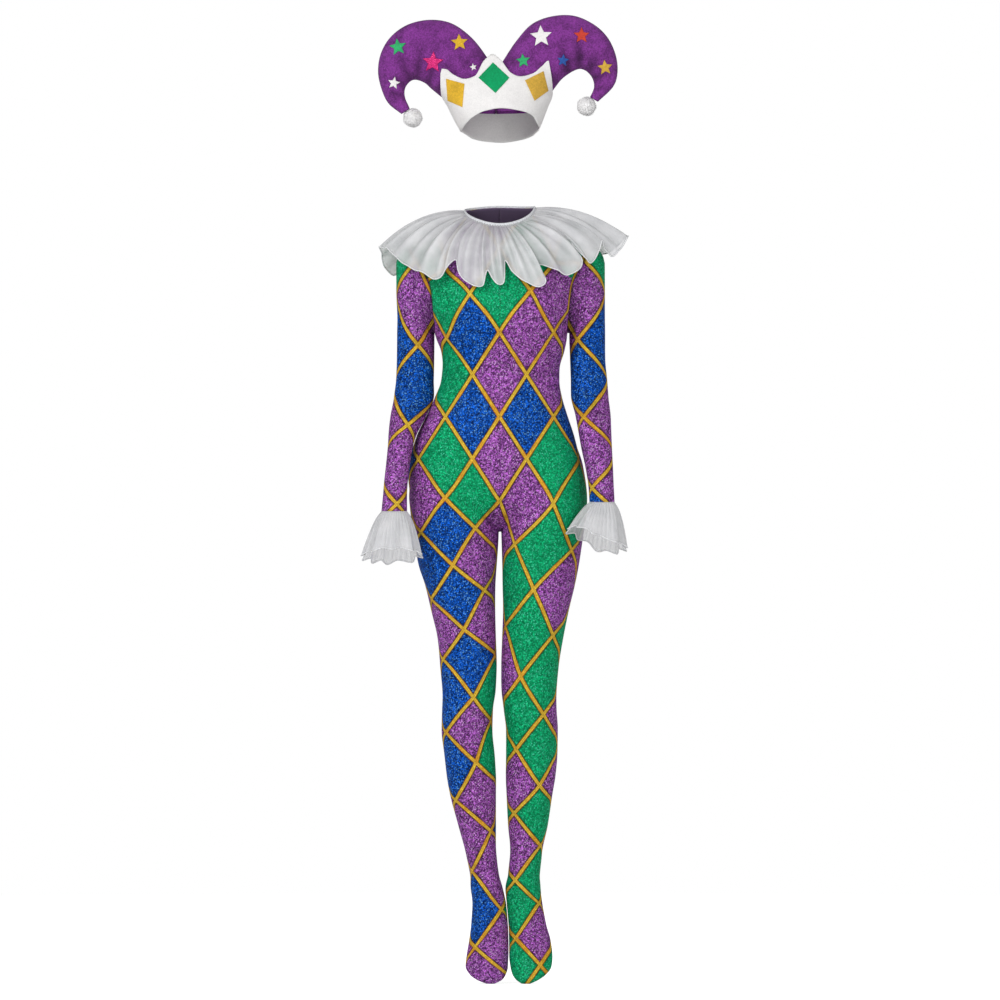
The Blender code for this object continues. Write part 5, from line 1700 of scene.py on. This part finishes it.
@dataclass
class Applique:
    """A felt shape glued to the front of the hat, with a softly rounded edge."""

    name: str
    outline: Array
    wall: float = 1.6
    lift: float = 0.5
    rings: int = 9
    edge_steps: int = 12
    edge: float = 1.5

    def build(self, tree: BVHTree) -> Object:
        """Lays the shape on the surface behind it.

        Each ring is the outline scaled about its middle, and the face falls away over the edge e,
        h = wall (1 - (1 - d / e)^2)^0.5.

        Args:
            tree: The surface that carries it.

        Returns:
            The piece.
        """
        steps = np.linspace(0, 1, self.edge_steps, endpoint=False)
        following = np.roll(self.outline, -1, axis=0)
        edges = (following - self.outline)[:, None]
        rim = (self.outline[:, None] + steps[None, :, None] * edges).reshape(-1, 2)
        middle = rim.mean(axis=0)
        size = length(rim - middle).min()
        rim_shares = [1 - 0.6 / size, 1 - 0.15 / size, 1]
        shares = np.concatenate([np.linspace(0, 1 - self.edge / size, self.rings), rim_shares])
        flat = middle + shares[:, None, None] * (rim - middle)
        inward = np.clip((1 - shares) * size / self.edge, 0, 1)
        height = self.wall * np.sqrt(1 - (1 - inward) ** 2)
        base = reaches(tree, flat[..., 0], flat[..., 1], Facing.FRONT)
        base = np.where(np.isnan(base), np.nanmin(base), base) + self.lift
        upper = stacked(flat[..., 0], -(base + height[:, None]), flat[..., 1])
        lower = stacked(flat[..., 0], -base, flat[..., 1])
        points = np.concatenate([upper, lower[:-1][::-1]])
        outward = np.zeros(points.shape)
        outward[: len(upper), :, 1] = Facing.FRONT.value
        obj = sheet_mesh(self.name, points, outward, closed=True)
        obj.data.set_sharp_from_angle(angle=math.radians(60))
        return obj


def star_outline(star: Star) -> Array:
    """The ten corners of a five-pointed star, r = R or 0.46 R every 36 degrees.

    Args:
        star: The star.

    Returns:
        The corners' x and z.
    """
    k = np.arange(10)
    angle = np.radians(90 + star.turn + 36 * k)
    r = star.radius * np.where(k % 2, STAR_INNER_SHARE, 1.0)
    return stacked(star.x + r * np.cos(angle), star.z + r * np.sin(angle))


POMPON_SEEDS = by_side(11, 12)
STRAND_CORNERS = (0, 2.094, 4.189)  # thirds of a turn
ACROSS_STRANDS = np.array([0.3, 0.5, 0.8])


@dataclass
class Pompons:
    """A clipped yarn ball at the tip of each horn: a lumpy core under short strands."""

    radius: float = 18.6
    strands: int = 5200
    strand_length: float = 4.0
    strand_width: float = 0.42
    shortest: float = 0.55  # the shortest strand, as a share of the longest
    lean: float = 0.38
    core_share: float = 0.93  # the core's radius and the strands' roots, as shares of the ball's radius
    root_share: float = 0.9
    rings: int = 36
    segments: int = 64

    def build(self) -> list[Object]:
        """Makes the two balls."""
        return [self._ball(side) for side in Side]

    def _ball(self, side: Side) -> Object:
        """One pompon: a ball of strands round a core.

        Args:
            side: The horn's side.

        Returns:
            The ball.
        """
        rng = np.random.default_rng(POMPON_SEEDS[side])
        x, z = POMPONS[side]
        centre = np.array([x, 0.0, z])
        polar = np.linspace(0.03, math.pi - 0.03, self.rings)[:, None]
        turn = round_angles(self.segments)[None]
        ray = stacked(np.sin(polar) * np.cos(turn), np.sin(polar) * np.sin(turn), np.cos(polar))
        core = centre + (self.radius * self.core_share + self._lumps(ray))[..., None] * ray
        flat = core.reshape(-1, 3)
        faces = turned(flat, grid_faces(self.rings, self.segments, closed=True), ray.reshape(-1, 3))
        core_faces = np.concatenate([faces[:, (1, 2, 3)], faces[:, (0, 1, 3)]])
        # Strands: even golden-angle places, each leaning a little, as three-sided spikes
        k = np.arange(self.strands)
        height = 1 - 2 * (k + 0.5) / self.strands
        golden = math.pi * (3 - math.sqrt(5)) * k
        wide = np.sqrt(1 - height**2)
        root_ray = stacked(wide * np.cos(golden), wide * np.sin(golden), height)
        lean = unit(root_ray + self.lean * rng.normal(size=root_ray.shape))
        start = centre + (self.radius * self.root_share + self._lumps(root_ray))[:, None] * root_ray
        reach = self.strand_length * rng.uniform(self.shortest, 1.0, self.strands)
        tip = start + reach[:, None] * lean
        u = unit(np.cross(lean, ACROSS_STRANDS))
        v = np.cross(lean, u)
        corners = [start + self.strand_width * (math.cos(t) * u + math.sin(t) * v) for t in STRAND_CORNERS]
        spikes = np.stack([*corners, tip], axis=1).reshape(-1, 3)
        base = len(flat) + 4 * k[:, None]
        sides = [base + np.array(corner) for corner in ((0, 1, 3), (1, 2, 3), (2, 0, 3))]
        points, triangles = np.concatenate([flat, spikes]), np.concatenate([core_faces, *sides])
        return new_mesh(f"hat_pompon_{side.word}", points, triangles)

    @staticmethod
    def _lumps(ray: Array) -> Array:
        """A slow waviness of the ball, from crossed sines."""
        x, y, z = np.moveaxis(ray, -1, 0)
        return 0.7 * np.sin(5 * x + 1.3) * np.sin(6 * y + 0.4) + 0.6 * np.sin(7 * z + 2 * x)


@dataclass
class Hat:
    """The felt jester hat: horns, crown, diamonds, stars and pompons."""

    horns: Horns
    crown: Crown
    pompons: Pompons

    def build(self) -> list[Object]:
        """Makes every piece of the hat."""
        horns = self.horns.build()
        horn_tree = front_tree(list(horns.values()))
        crown = self.crown.build(horn_tree)
        crown_tree = front_tree([crown[Facing.FRONT]])
        pieces = [*horns.values(), *crown.values()]
        for name, corners in CROWN_DIAMONDS.items():
            pieces.append(Applique(name, np.array(corners, float)).build(crown_tree))
        for star in STARS:
            pieces.append(Applique(star.name, star_outline(star)).build(horn_tree))
        return pieces + self.pompons.build()


# ---------- finishes

# Inputs go by number where Blender's names repeat: Map Range reads 0, from 1 to 2, as 3 to 4; Mix goes from
# 6 to 7 by 0, or from 2 to 3 for plain numbers; and Vector Math scales 0 by 3
COLOURS = {"data_type": "RGBA"}
TIMES = {"data_type": "RGBA", "blend_type": "MULTIPLY"}


def wire(tree: bpy.types.NodeTree, node: bpy.types.Node, sockets: dict) -> None:
    """Gives each input, by name or number, a value or a link from another node's output.

    Args:
        tree: The node tree.
        node: The node.
        sockets: For each input, a value or another node's output to link.
    """
    for key, value in sockets.items():
        if isinstance(value, bpy.types.NodeSocket):
            tree.links.new(value, node.inputs[key])
        else:
            node.inputs[key].default_value = value


def add(
    tree: bpy.types.NodeTree, kind: str, sockets: dict | None = None, stops: tuple = (), **settings
) -> bpy.types.bpy_prop_collection:
    """Adds a node with its settings and links.

    Args:
        tree: The node tree.
        kind: The node's type, without "ShaderNode".
        sockets: For each input's name or number, a value or another node's output to link.
        stops: For a colour ramp, each stop's place and its grey level or colour.
        settings: The node's own properties.

    Returns:
        The node's outputs.
    """
    node = tree.nodes.new(f"ShaderNode{kind}")
    for key, value in settings.items():
        setattr(node, key, value)
    wire(tree, node, sockets or {})
    if stops:
        elements = node.color_ramp.elements
        elements.remove(elements[-1])
        elements[0].position, elements[0].color = stops[0][0], rgba(stops[0][1])
        for place, tone in stops[1:]:
            elements.new(place).color = rgba(tone)
    return node.outputs


def start_material(name: str) -> tuple[bpy.types.Material, bpy.types.NodeTree, bpy.types.Node]:
    """A new material with its node tree and Principled shader."""
    material = bpy.data.materials.new(name)
    material.use_nodes = True
    tree = material.node_tree
    return material, tree, tree.nodes["Principled BSDF"]


@dataclass(frozen=True)
class GlitterKnit:
    """Stretch knit covered in glitter flakes, with a gold braid printed along the lattice."""

    flake: float = 3.0  # mm; real flakes are under 1 mm, and these are drawn as coarse as they show
    small_flake: float = 2.0
    braid: float = 4.4  # half the braid's width, mm
    edge: float = 0.35  # half the width of the braid's soft edge, mm
    shadow: float = 3.0  # how far the braid's painted shadow reaches on the knit beside it, mm

    def build(self) -> bpy.types.Material:
        """Makes the material.

        Flakes that catch the light and those that face away are painted into the colour as pale and dark
        glints, with small pale painted highlights on the brightest, so the cloth looks grainy and alive
        where plain dyed knit would look flat.
        """
        material, tree, shader = start_material("glitter_knit")
        place = add(tree, "TexCoord")["Object"]
        dye = add(tree, "VertexColor", layer_name="dye")["Color"]
        scales = (1 / (size * MM) for size in (self.flake, self.small_flake))
        large, small = (add(tree, "TexVoronoi", {"Vector": place, "Scale": scale}) for scale in scales)
        random, fine = (add(tree, "SeparateColor", {0: cell["Color"]}) for cell in (large, small))
        # A flake's painted glint, as brightness against the dye: many dim ones, few bright ones
        glint = add(tree, "Mix", {0: 0.55, 2: random[0], 3: fine[1]})[0]
        levels = (0.15, 0.17), (0.38, 0.44), (0.55, 0.9), (0.72, 1.55), (0.88, 2.7)
        gain = add(tree, "ValToRGB", {0: glint}, levels)[0]
        # The painted glints are more even on the green flakes than on the others
        green = add(tree, "SeparateColor", {0: dye})[1]
        even = add(tree, "MapRange", {0: green, 1: 0.09, 2: 0.28, 3: 0.0, 4: 0.42})[0]
        level = add(tree, "Mix", {0: even, 6: gain, 7: rgba(1.0)}, **COLOURS)[2]
        flakes = add(tree, "Mix", {0: 1.0, 6: dye, 7: level}, **TIMES)[2]
        # Painted highlights: the brightest are small pale points at the middle of a cell
        dot = add(tree, "MapRange", {0: large["Distance"], 1: 0.28, 2: 0.5, 3: 1.0, 4: 0.0})[0]
        lit = add(tree, "ValToRGB", {0: random[2]}, ((0.5, 0.0), (0.72, 0.4), (0.92, 1.0)))[0]
        painted_highlight = add(tree, "Math", {0: dot, 1: lit}, operation="MULTIPLY")[0]
        clear = add(tree, "Math", {0: even, 1: 0.3, 2: 0.36}, operation="MULTIPLY_ADD")[0]
        tint = add(tree, "Gamma", {0: dye, 1: clear})[0]
        pale = add(tree, "Mix", {0: painted_highlight, 6: flakes, 7: tint}, **COLOURS)[2]
        distance = self._distance(tree)
        soft = {1: self.braid - self.edge, 2: self.braid + self.edge}
        inside = add(tree, "MapRange", {0: distance, **soft, 3: 1.0, 4: 0.0})[0]
        wide = add(tree, "Math", {0: distance, 1: self.braid}, operation="DIVIDE")[0]
        # The braid's gold is its own colour in the middle; its darkest outer stops are painted shade where
        # the cords roll away
        gold = add(tree, "ValToRGB", {0: wide}, (
            (0.0, "#BC9A2C"), (0.2, "#D8B43C"), (0.45, "#DCB844"), (0.68, "#AE8222"), (0.84, "#6C4A14"),
            (1.0, "#36220A"),
        ))[0]
        # The braid is worn to a redder gold here and there
        worn = add(tree, "TexNoise", {"Vector": place, "Scale": 38.0, "Detail": 2.0})["Fac"]
        redder = add(tree, "MapRange", {0: worn, 1: 0.47, 2: 0.68, 3: 0.0, 4: 0.5})[0]
        gold = add(tree, "Mix", {0: redder, 6: gold, 7: rgba("#D0801C")}, **COLOURS)[2]
        # The flakes' painted glints show faintly on the braid too
        grain = add(tree, "Mix", {0: 0.22, 6: gold, 7: gain}, **TIMES)[2]
        # Painted shadow of the braid on the knit beside it
        beyond = {1: self.braid, 2: self.braid + self.shadow}
        shade = add(tree, "MapRange", {0: distance, **beyond, 3: 0.3, 4: 1.0})[0]
        knit = add(tree, "Mix", {0: 1.0, 6: pale, 7: shade}, **TIMES)[2]
        colour = add(tree, "Mix", {0: inside, 6: knit, 7: grain}, **COLOURS)[2]
        # Painted shade: the knit's colour is darkened in its folds and beside the armholes' seams
        fold = add(tree, "Attribute", attribute_name="fold")["Fac"]
        fold_shade = add(tree, "MapRange", {0: fold, 3: 1.0, 4: 0.3})[0]
        folded = add(tree, "Mix", {0: 1.0, 6: colour, 7: fold_shade}, **TIMES)[2]
        # Flakes tip every way; the braid stands proud, as two cords side by side
        offset = add(tree, "VectorMath", {0: large["Color"], 1: (0.5, 0.5, 0.5)}, operation="SUBTRACT")[0]
        tipped = add(tree, "VectorMath", {0: offset, 3: 0.5}, operation="SCALE")[0]
        relief = (0.0, 0.35), (0.3, 0.9), (0.55, 1.0), (0.85, 0.7), (1.0, 0.0)
        cords = add(tree, "ValToRGB", {0: wide}, relief)[0]
        bump = add(tree, "Bump", {"Height": cords, "Distance": 0.0012, "Strength": 0.8})[0]
        loose = add(tree, "Math", {0: 1.0, 1: inside}, operation="SUBTRACT")[0]
        part = add(tree, "VectorMath", {0: tipped, 3: loose}, operation="SCALE")[0]
        total = add(tree, "VectorMath", {0: bump, 1: part}, operation="ADD")[0]
        normal = add(tree, "VectorMath", {0: total}, operation="NORMALIZE")[0]
        rough = add(tree, "MapRange", {0: fine[0], 3: 0.4, 4: 0.7})[0]
        wire(tree, shader, {
            "Base Color": folded, "Normal": normal, "Roughness": rough, "Metallic": 0.1,
            "Specular IOR Level": 0.05,
        })
        return material

    @staticmethod
    def _distance(tree: bpy.types.NodeTree) -> bpy.types.NodeSocket:
        """The distance in mm to the nearest line.

        For each count it's the smaller of pingpong(count, 1) and 1 - pingpong(count, 1), times the pitch.

        Args:
            tree: The material's node tree.

        Returns:
            The distance.
        """
        layers = (add(tree, "UVMap", uv_map=name)[0] for name in ("lattice", "pitch"))
        counts, pitch = (add(tree, "SeparateXYZ", {0: layer}) for layer in layers)
        found = []
        for k in (0, 1):
            fold = add(tree, "Math", {0: counts[k], 1: 1.0}, operation="PINGPONG")[0]
            rest = add(tree, "Math", {0: 1.0, 1: fold}, operation="SUBTRACT")[0]
            near = add(tree, "Math", {0: fold, 1: rest}, operation="MINIMUM")[0]
            share = add(tree, "Math", {0: near, 1: pitch[k]}, operation="MULTIPLY")[0]
            found.append(add(tree, "Math", {0: share, 1: PITCH_UNIT}, operation="MULTIPLY")[0])
        return add(tree, "Math", {0: found[0], 1: found[1]}, operation="MINIMUM")[0]


@dataclass(frozen=True)
class KnitReverse:
    """The plain reverse of the knit, inside the suit."""

    colour: str = "#5B4A66"

    def build(self) -> bpy.types.Material:
        """Makes the material: fine ribs of stitches, dull and soft, where the right side glitters."""
        material, tree, shader = start_material("knit_reverse")
        place = add(tree, "TexCoord")["Object"]
        wave = {"Vector": place, "Scale": 180.0, "Distortion": 1.5, "Detail": 2.0}
        ribs = add(tree, "TexWave", wave)["Fac"]
        # The ribs' tone is painted shade: darker in the hollows, where the bump is low
        tone = add(tree, "ValToRGB", {0: ribs}, ((0, shaded(self.colour, 0.7)), (1, self.colour)))[0]
        bump = add(tree, "Bump", {"Height": ribs, "Distance": 0.0003, "Strength": 0.5})[0]
        wire(tree, shader, {"Base Color": tone, "Normal": bump, "Roughness": 0.85})
        return material


@dataclass(frozen=True)
class Organza:
    """Sheer woven organza: crisp, faintly shiny, and the colours behind show through it."""

    colour: str = "#ECECEE"
    shade: str = "#D8D9DC"
    cover: tuple[float, float] = (0.11, 0.31)  # between the threads and on them
    pleat_cover: float = 0.38
    cloud_cover: float = 0.32
    thread: float = 1.3  # mm; a real thread is 0.2 mm, and this is as fine as shows

    def build(self) -> bpy.types.Material:
        """Makes the material: threads cover most of the surface and let light through between them."""
        material, tree, shader = start_material("organza")
        along = add(tree, "SeparateXYZ", {0: add(tree, "UVMap", uv_map="weave")[0]})
        threads = []
        for k in (0, 1):
            turn = add(tree, "Math", {0: along[k], 1: 2 * math.pi / self.thread}, operation="MULTIPLY")[0]
            threads.append(add(tree, "Math", {0: turn}, operation="SINE")[0])
        weave = add(tree, "Math", {0: threads[0], 1: threads[1]}, operation="MAXIMUM")[0]
        place = add(tree, "TexCoord")["Object"]
        cloud = add(tree, "TexNoise", {"Vector": place, "Scale": 22.0, "Detail": 3.0})["Fac"]
        tone = add(tree, "ValToRGB", {0: cloud}, ((0.3, self.shade), (0.7, self.colour)))[0]
        low, high = self.cover
        cover = add(tree, "MapRange", {0: weave, 1: -1.0, 2: 1.0, 3: low, 4: high})[0]
        # A pleat lays two thicknesses of cloth together, and the weave is closer in some places
        fold = add(tree, "Attribute", attribute_name="fold")["Fac"]
        pleat = add(tree, "Math", {0: fold, 1: self.pleat_cover, 2: cover}, operation="MULTIPLY_ADD")[0]
        more = add(tree, "Math", {0: cloud, 1: self.cloud_cover, 2: pleat}, operation="MULTIPLY_ADD")[0]
        bump = add(tree, "Bump", {"Height": weave, "Distance": 0.0002, "Strength": 0.35})[0]
        wire(tree, shader, {
            "Base Color": tone, "Alpha": more, "Normal": bump, "Roughness": 0.42,
            "Specular IOR Level": 0.5, "Sheen Weight": 0.25, "Sheen Roughness": 0.4,
        })
        return material


@dataclass(frozen=True)
class Thread:
    """Dense overlocked thread or gathered elastic: opaque, matt, finely ribbed."""

    name: str
    colour: str = "#ECEDEF"
    rib: float = 1.6  # mm

    def build(self) -> bpy.types.Material:
        """Makes the material: small ribs that shade a pale cord."""
        material, tree, shader = start_material(self.name)
        place = add(tree, "TexCoord")["Object"]
        grain = add(tree, "TexNoise", {"Vector": place, "Scale": 1 / (self.rib * MM), "Detail": 2.0})["Fac"]
        tone = add(tree, "ValToRGB", {0: grain}, ((0.3, shaded(self.colour, 0.72)), (0.65, self.colour)))[0]
        bump = add(tree, "Bump", {"Height": grain, "Distance": 0.0006, "Strength": 0.6})[0]
        wire(tree, shader, {"Base Color": tone, "Normal": bump, "Roughness": 0.7, "Sheen Weight": 0.3})
        return material


@dataclass(frozen=True)
class FeltCloth:
    """Craft felt: matted fibres with no weave."""

    felt: Felt
    glitter: bool = False

    def build(self) -> bpy.types.Material:
        """Makes the material: soft blotches of tone and a fibrous surface that scatters light."""
        material, tree, shader = start_material(f"felt_{self.felt.name.lower()}")
        place = add(tree, "TexCoord")["Object"]
        matted = {"Vector": place, "Scale": 420.0, "Detail": 6.0, "Roughness": 0.72}
        fibres = add(tree, "TexNoise", matted)["Fac"]
        blotches = add(tree, "TexNoise", {"Vector": place, "Scale": 34.0, "Detail": 3.0})["Fac"]
        both = add(tree, "Math", {0: fibres, 1: blotches}, operation="ADD")[0]
        half = add(tree, "Math", {0: both, 1: 0.5}, operation="MULTIPLY")[0]
        contrast = {Felt.WHITE: 0.05, Felt.PURPLE: 0.4}.get(self.felt, 0.16)
        dark, light = (shaded(self.felt.value, by) for by in (1 - contrast, 1 + 0.5 * contrast))
        tone = add(tree, "ValToRGB", {0: half}, ((0.40, dark), (0.5, self.felt.value), (0.60, light)))[0]
        # Short fibres lie in tufts of about 2 mm, some paler than others
        tuft = add(tree, "TexVoronoi", {"Vector": place, "Scale": 430.0})["Color"]
        level = add(tree, "MapRange", {0: tuft, 3: 1 - contrast, 4: 1 + 0.9 * contrast})[0]
        tufted = add(tree, "Mix", {0: 1.0, 6: tone, 7: level}, **TIMES)[2]
        # Painted shade: the felt is darkened along the seams where two pieces are joined at their edges,
        # and in the horns' dents
        rim = add(tree, "Attribute", attribute_name="rim")["Fac"]
        pinch = add(tree, "MapRange", {0: rim, 3: 1.0, 4: 0.42})[0]
        colour = add(tree, "Mix", {0: 1.0, 6: tufted, 7: pinch}, **TIMES)[2]
        bump = add(tree, "Bump", {"Height": fibres, "Distance": 0.0011, "Strength": 0.55})[0]
        wire(tree, shader, {"Base Color": colour})
        if self.glitter:
            # A glitter felt: flakes of 1.4 mm tip the light
            cell = add(tree, "TexVoronoi", {"Vector": place, "Scale": 700.0})["Color"]
            offset = add(tree, "VectorMath", {0: cell, 1: (0.5, 0.5, 0.5)}, operation="SUBTRACT")[0]
            tip = add(tree, "VectorMath", {0: offset, 3: 0.8}, operation="SCALE")[0]
            total = add(tree, "VectorMath", {0: bump, 1: tip}, operation="ADD")[0]
            normal = add(tree, "VectorMath", {0: total}, operation="NORMALIZE")[0]
            wire(tree, shader, {"Normal": normal, "Metallic": 0.3, "Roughness": 0.35})
        else:
            wire(tree, shader, {
                "Normal": bump, "Roughness": 0.93, "Specular IOR Level": 0.2, "Sheen Weight": 0.05,
                "Sheen Roughness": 0.6,
            })
        return material


@dataclass(frozen=True)
class Yarn:
    """Clipped white yarn of the pompons."""

    colour: str = "#FCFBFB"
    shade: str = "#F3F2F3"

    def build(self) -> bpy.types.Material:
        """Makes the material: soft and pale, greyer between the strands."""
        material, tree, shader = start_material("pompon_yarn")
        place = add(tree, "TexCoord")["Object"]
        tufts = add(tree, "TexNoise", {"Vector": place, "Scale": 300.0, "Detail": 3.0})["Fac"]
        tone = add(tree, "ValToRGB", {0: tufts}, ((0.3, self.shade), (0.6, self.colour)))[0]
        wire(tree, shader, {"Base Color": tone, "Roughness": 0.95, "Sheen Weight": 0.5})
        return material


# ---------- the studio


@dataclass
class Studio:
    """A plain pale floor and soft light, and the camera."""

    floor_z: float = -1.5345
    distance: float = 20.0
    height: float = -0.57
    lens: float = 360.0

    def build(self) -> None:
        """Makes the floor, the lights, the world and the camera."""
        scene = bpy.context.scene
        scene.view_settings.view_transform = "Standard"
        self._floor()
        self._world(scene)
        self._light("key", (-2.6, -4.2, 2.2), (0, 0, -0.5), 1.6, 142)
        self._light("fill", (2.6, -4.0, 0.4), (0, 0, -0.6), 2.4, 48)
        data = bpy.data.cameras.new("camera")
        data.lens, data.sensor_width = self.lens, 36.0
        data.clip_end = 80
        camera = bpy.data.objects.new("camera", data)
        camera.location = (0, -self.distance, self.height)
        camera.rotation_euler = (math.pi / 2, 0, 0)
        scene.collection.objects.link(camera)
        scene.camera = camera

    def _floor(self) -> None:
        """The floor and its material."""
        radius, turns = 4.5, 64
        turn = round_angles(turns)
        rim = stacked(radius * np.cos(turn), radius * np.sin(turn), 0 * turn + self.floor_z)
        mesh = bpy.data.meshes.new("floor")
        mesh.from_pydata([tuple(p) for p in rim], [], [tuple(range(turns))])
        floor = bpy.data.objects.new("floor", mesh)
        bpy.context.scene.collection.objects.link(floor)
        material, tree, shader = start_material("studio_floor")
        place = add(tree, "TexCoord")["Object"]
        cloud = add(tree, "TexNoise", {"Vector": place, "Scale": 1.5, "Detail": 2.0})["Fac"]
        tone = add(tree, "ValToRGB", {0: cloud}, ((0.3, 0.90), (0.7, 0.94)))[0]
        # A lit sweep: the floor is as white as the backdrop to the camera, and hardly lights the legs
        seen = add(tree, "LightPath")["Is Camera Ray"]
        glow = add(tree, "MapRange", {0: seen, 3: 0.08, 4: 0.8})[0]
        wire(tree, shader, {
            "Base Color": tone, "Roughness": 0.8, "Emission Strength": glow, "Emission Color": rgba(1.0),
        })
        floor.data.materials.append(material)

    @staticmethod
    def _world(scene: bpy.types.Scene) -> None:
        """The soft light from all round."""
        world = bpy.data.worlds.new("studio")
        world.use_nodes = True
        tree = world.node_tree
        # A white backdrop to the camera; its light is softest from behind the costume, so its edges darken
        ray = add(tree, "SeparateXYZ", {0: add(tree, "TexCoord")["Generated"]})
        light = add(tree, "MapRange", {0: ray[1], 1: -0.8, 2: 0.6, 3: 0.5, 4: 0.26})[0]
        seen = add(tree, "LightPath")["Is Camera Ray"]
        level = add(tree, "Mix", {0: seen, 2: light, 3: 1.0})[0]
        wire(tree, tree.nodes["Background"], {0: rgba(1.0), 1: level})
        scene.world = world

    @staticmethod
    def _light(name: str, place: tuple, target: tuple, size: float, power: float) -> None:
        """One square area light, aimed at a point.

        Args:
            name: The light's name.
            place: Where it stands, in metres.
            target: Where it points.
            size: Its side in metres.
            power: Its power in watts.
        """
        data = bpy.data.lights.new(name, "AREA")
        data.size, data.energy = size, power
        light = bpy.data.objects.new(name, data)
        light.location = place
        light.rotation_euler = (Vector(target) - Vector(place)).to_track_quat("-Z", "Y").to_euler()
        bpy.context.scene.collection.objects.link(light)


# ---------- the costume


@dataclass(frozen=True)
class Cut:
    """How a sheet was cut: its flat rectangle in metres, its flat area and how it's held."""

    flat: tuple[float, float]
    held: str
    area: float | None = None
    rests_on: tuple[str, ...] = ()


CUTS = {
    **{f"bodysuit_front_{side.word}": Cut((0.30, 1.53), "stretched", 0.27) for side in Side},
    **{f"bodysuit_back_{side.word}": Cut((0.30, 1.55), "stretched", 0.29) for side in Side},
    "sleeve_right": Cut((0.30, 0.54), "stretched", 0.10),
    "sleeve_left": Cut((0.30, 0.52), "stretched", 0.095),
    "collar_ruffle": Cut((1.20, 0.14), "gathered"),
    "cuff_ruffle_right": Cut((0.38, 0.085), "gathered"),
    "cuff_ruffle_left": Cut((0.36, 0.085), "gathered"),
    **{
        f"hat_horn_{side.word}_{facing.word}": Cut((0.26, 0.30), "stretched", 0.045)
        for side, facing in product(Side, Facing)
    },
    "hat_crown_front": Cut((0.30, 0.11), "stretched"),
    "hat_crown_back": Cut((0.30, 0.15), "stretched"),
}


class Costume:
    """The whole set, with every piece finished and placed on the frame."""

    def __init__(self, suit: Catsuit, collar: Collar, cuffs: Cuffs, hat: Hat) -> None:
        """Keeps the parts of the set that are still to be made."""
        self.suit, self.collar, self.cuffs, self.hat = suit, collar, cuffs, hat
        self.pieces: dict[str, Object] = {}

    def build(self) -> None:
        """Makes every piece."""
        for part in (self.suit, self.collar, self.cuffs, self.hat):
            for piece in part.build():
                self.pieces[piece.name.removesuffix(SUFFIX)] = piece
            log.info("%s built, %d pieces so far", type(part).__name__, len(self.pieces))

    def dress(self) -> None:
        """Gives each piece its material."""
        knit, organza = [GlitterKnit().build(), KnitReverse().build()], [Organza().build()]
        felts = {felt: [FeltCloth(felt, felt is Felt.MAGENTA).build()] for felt in Felt}
        finishes = {
            "bodysuit": knit, "sleeve": knit, "collar_ruffle": organza, "cuff_ruffle": organza,
            "collar_band": [Thread("gathered_elastic", "#E4E6EA", 2.2).build()],
            "hat_pompon": [Yarn().build()], "hat_horn": felts[Felt.PURPLE], "hat_crown": felts[Felt.WHITE],
            **{name: felts[felt] for name, felt in DIAMOND_FELTS.items()},
            **{star.name: felts[star.felt] for star in STARS},
        }
        finishes["collar_hem"] = finishes["cuff_hem"] = [Thread("rolled_hem").build()]
        for name, piece in self.pieces.items():
            for material in next(made for start, made in finishes.items() if name.startswith(start)):
                piece.data.materials.append(material)

    def declare(self) -> None:
        """Places each piece under the frame's root, and hides the solid of the same name for each piece but
        the hems.
        """
        carried = {"collar_hem": "collar_ruffle"}
        carried |= {f"cuff_hem_{side.word}": f"cuff_ruffle_{side.word}" for side in Side}
        for name, piece in self.pieces.items():
            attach(piece, "root")
            node = carried.get(name, name)
            if name not in carried:
                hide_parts(node)


def main() -> None:
    """Builds the costume in its studio."""
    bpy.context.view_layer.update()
    Studio().build()
    costume = Costume(Catsuit(), Collar(), Cuffs(), Hat(Horns(), Crown(), Pompons()))
    costume.build()
    costume.dress()
    costume.declare()


if __name__ == "__main__":
    main()
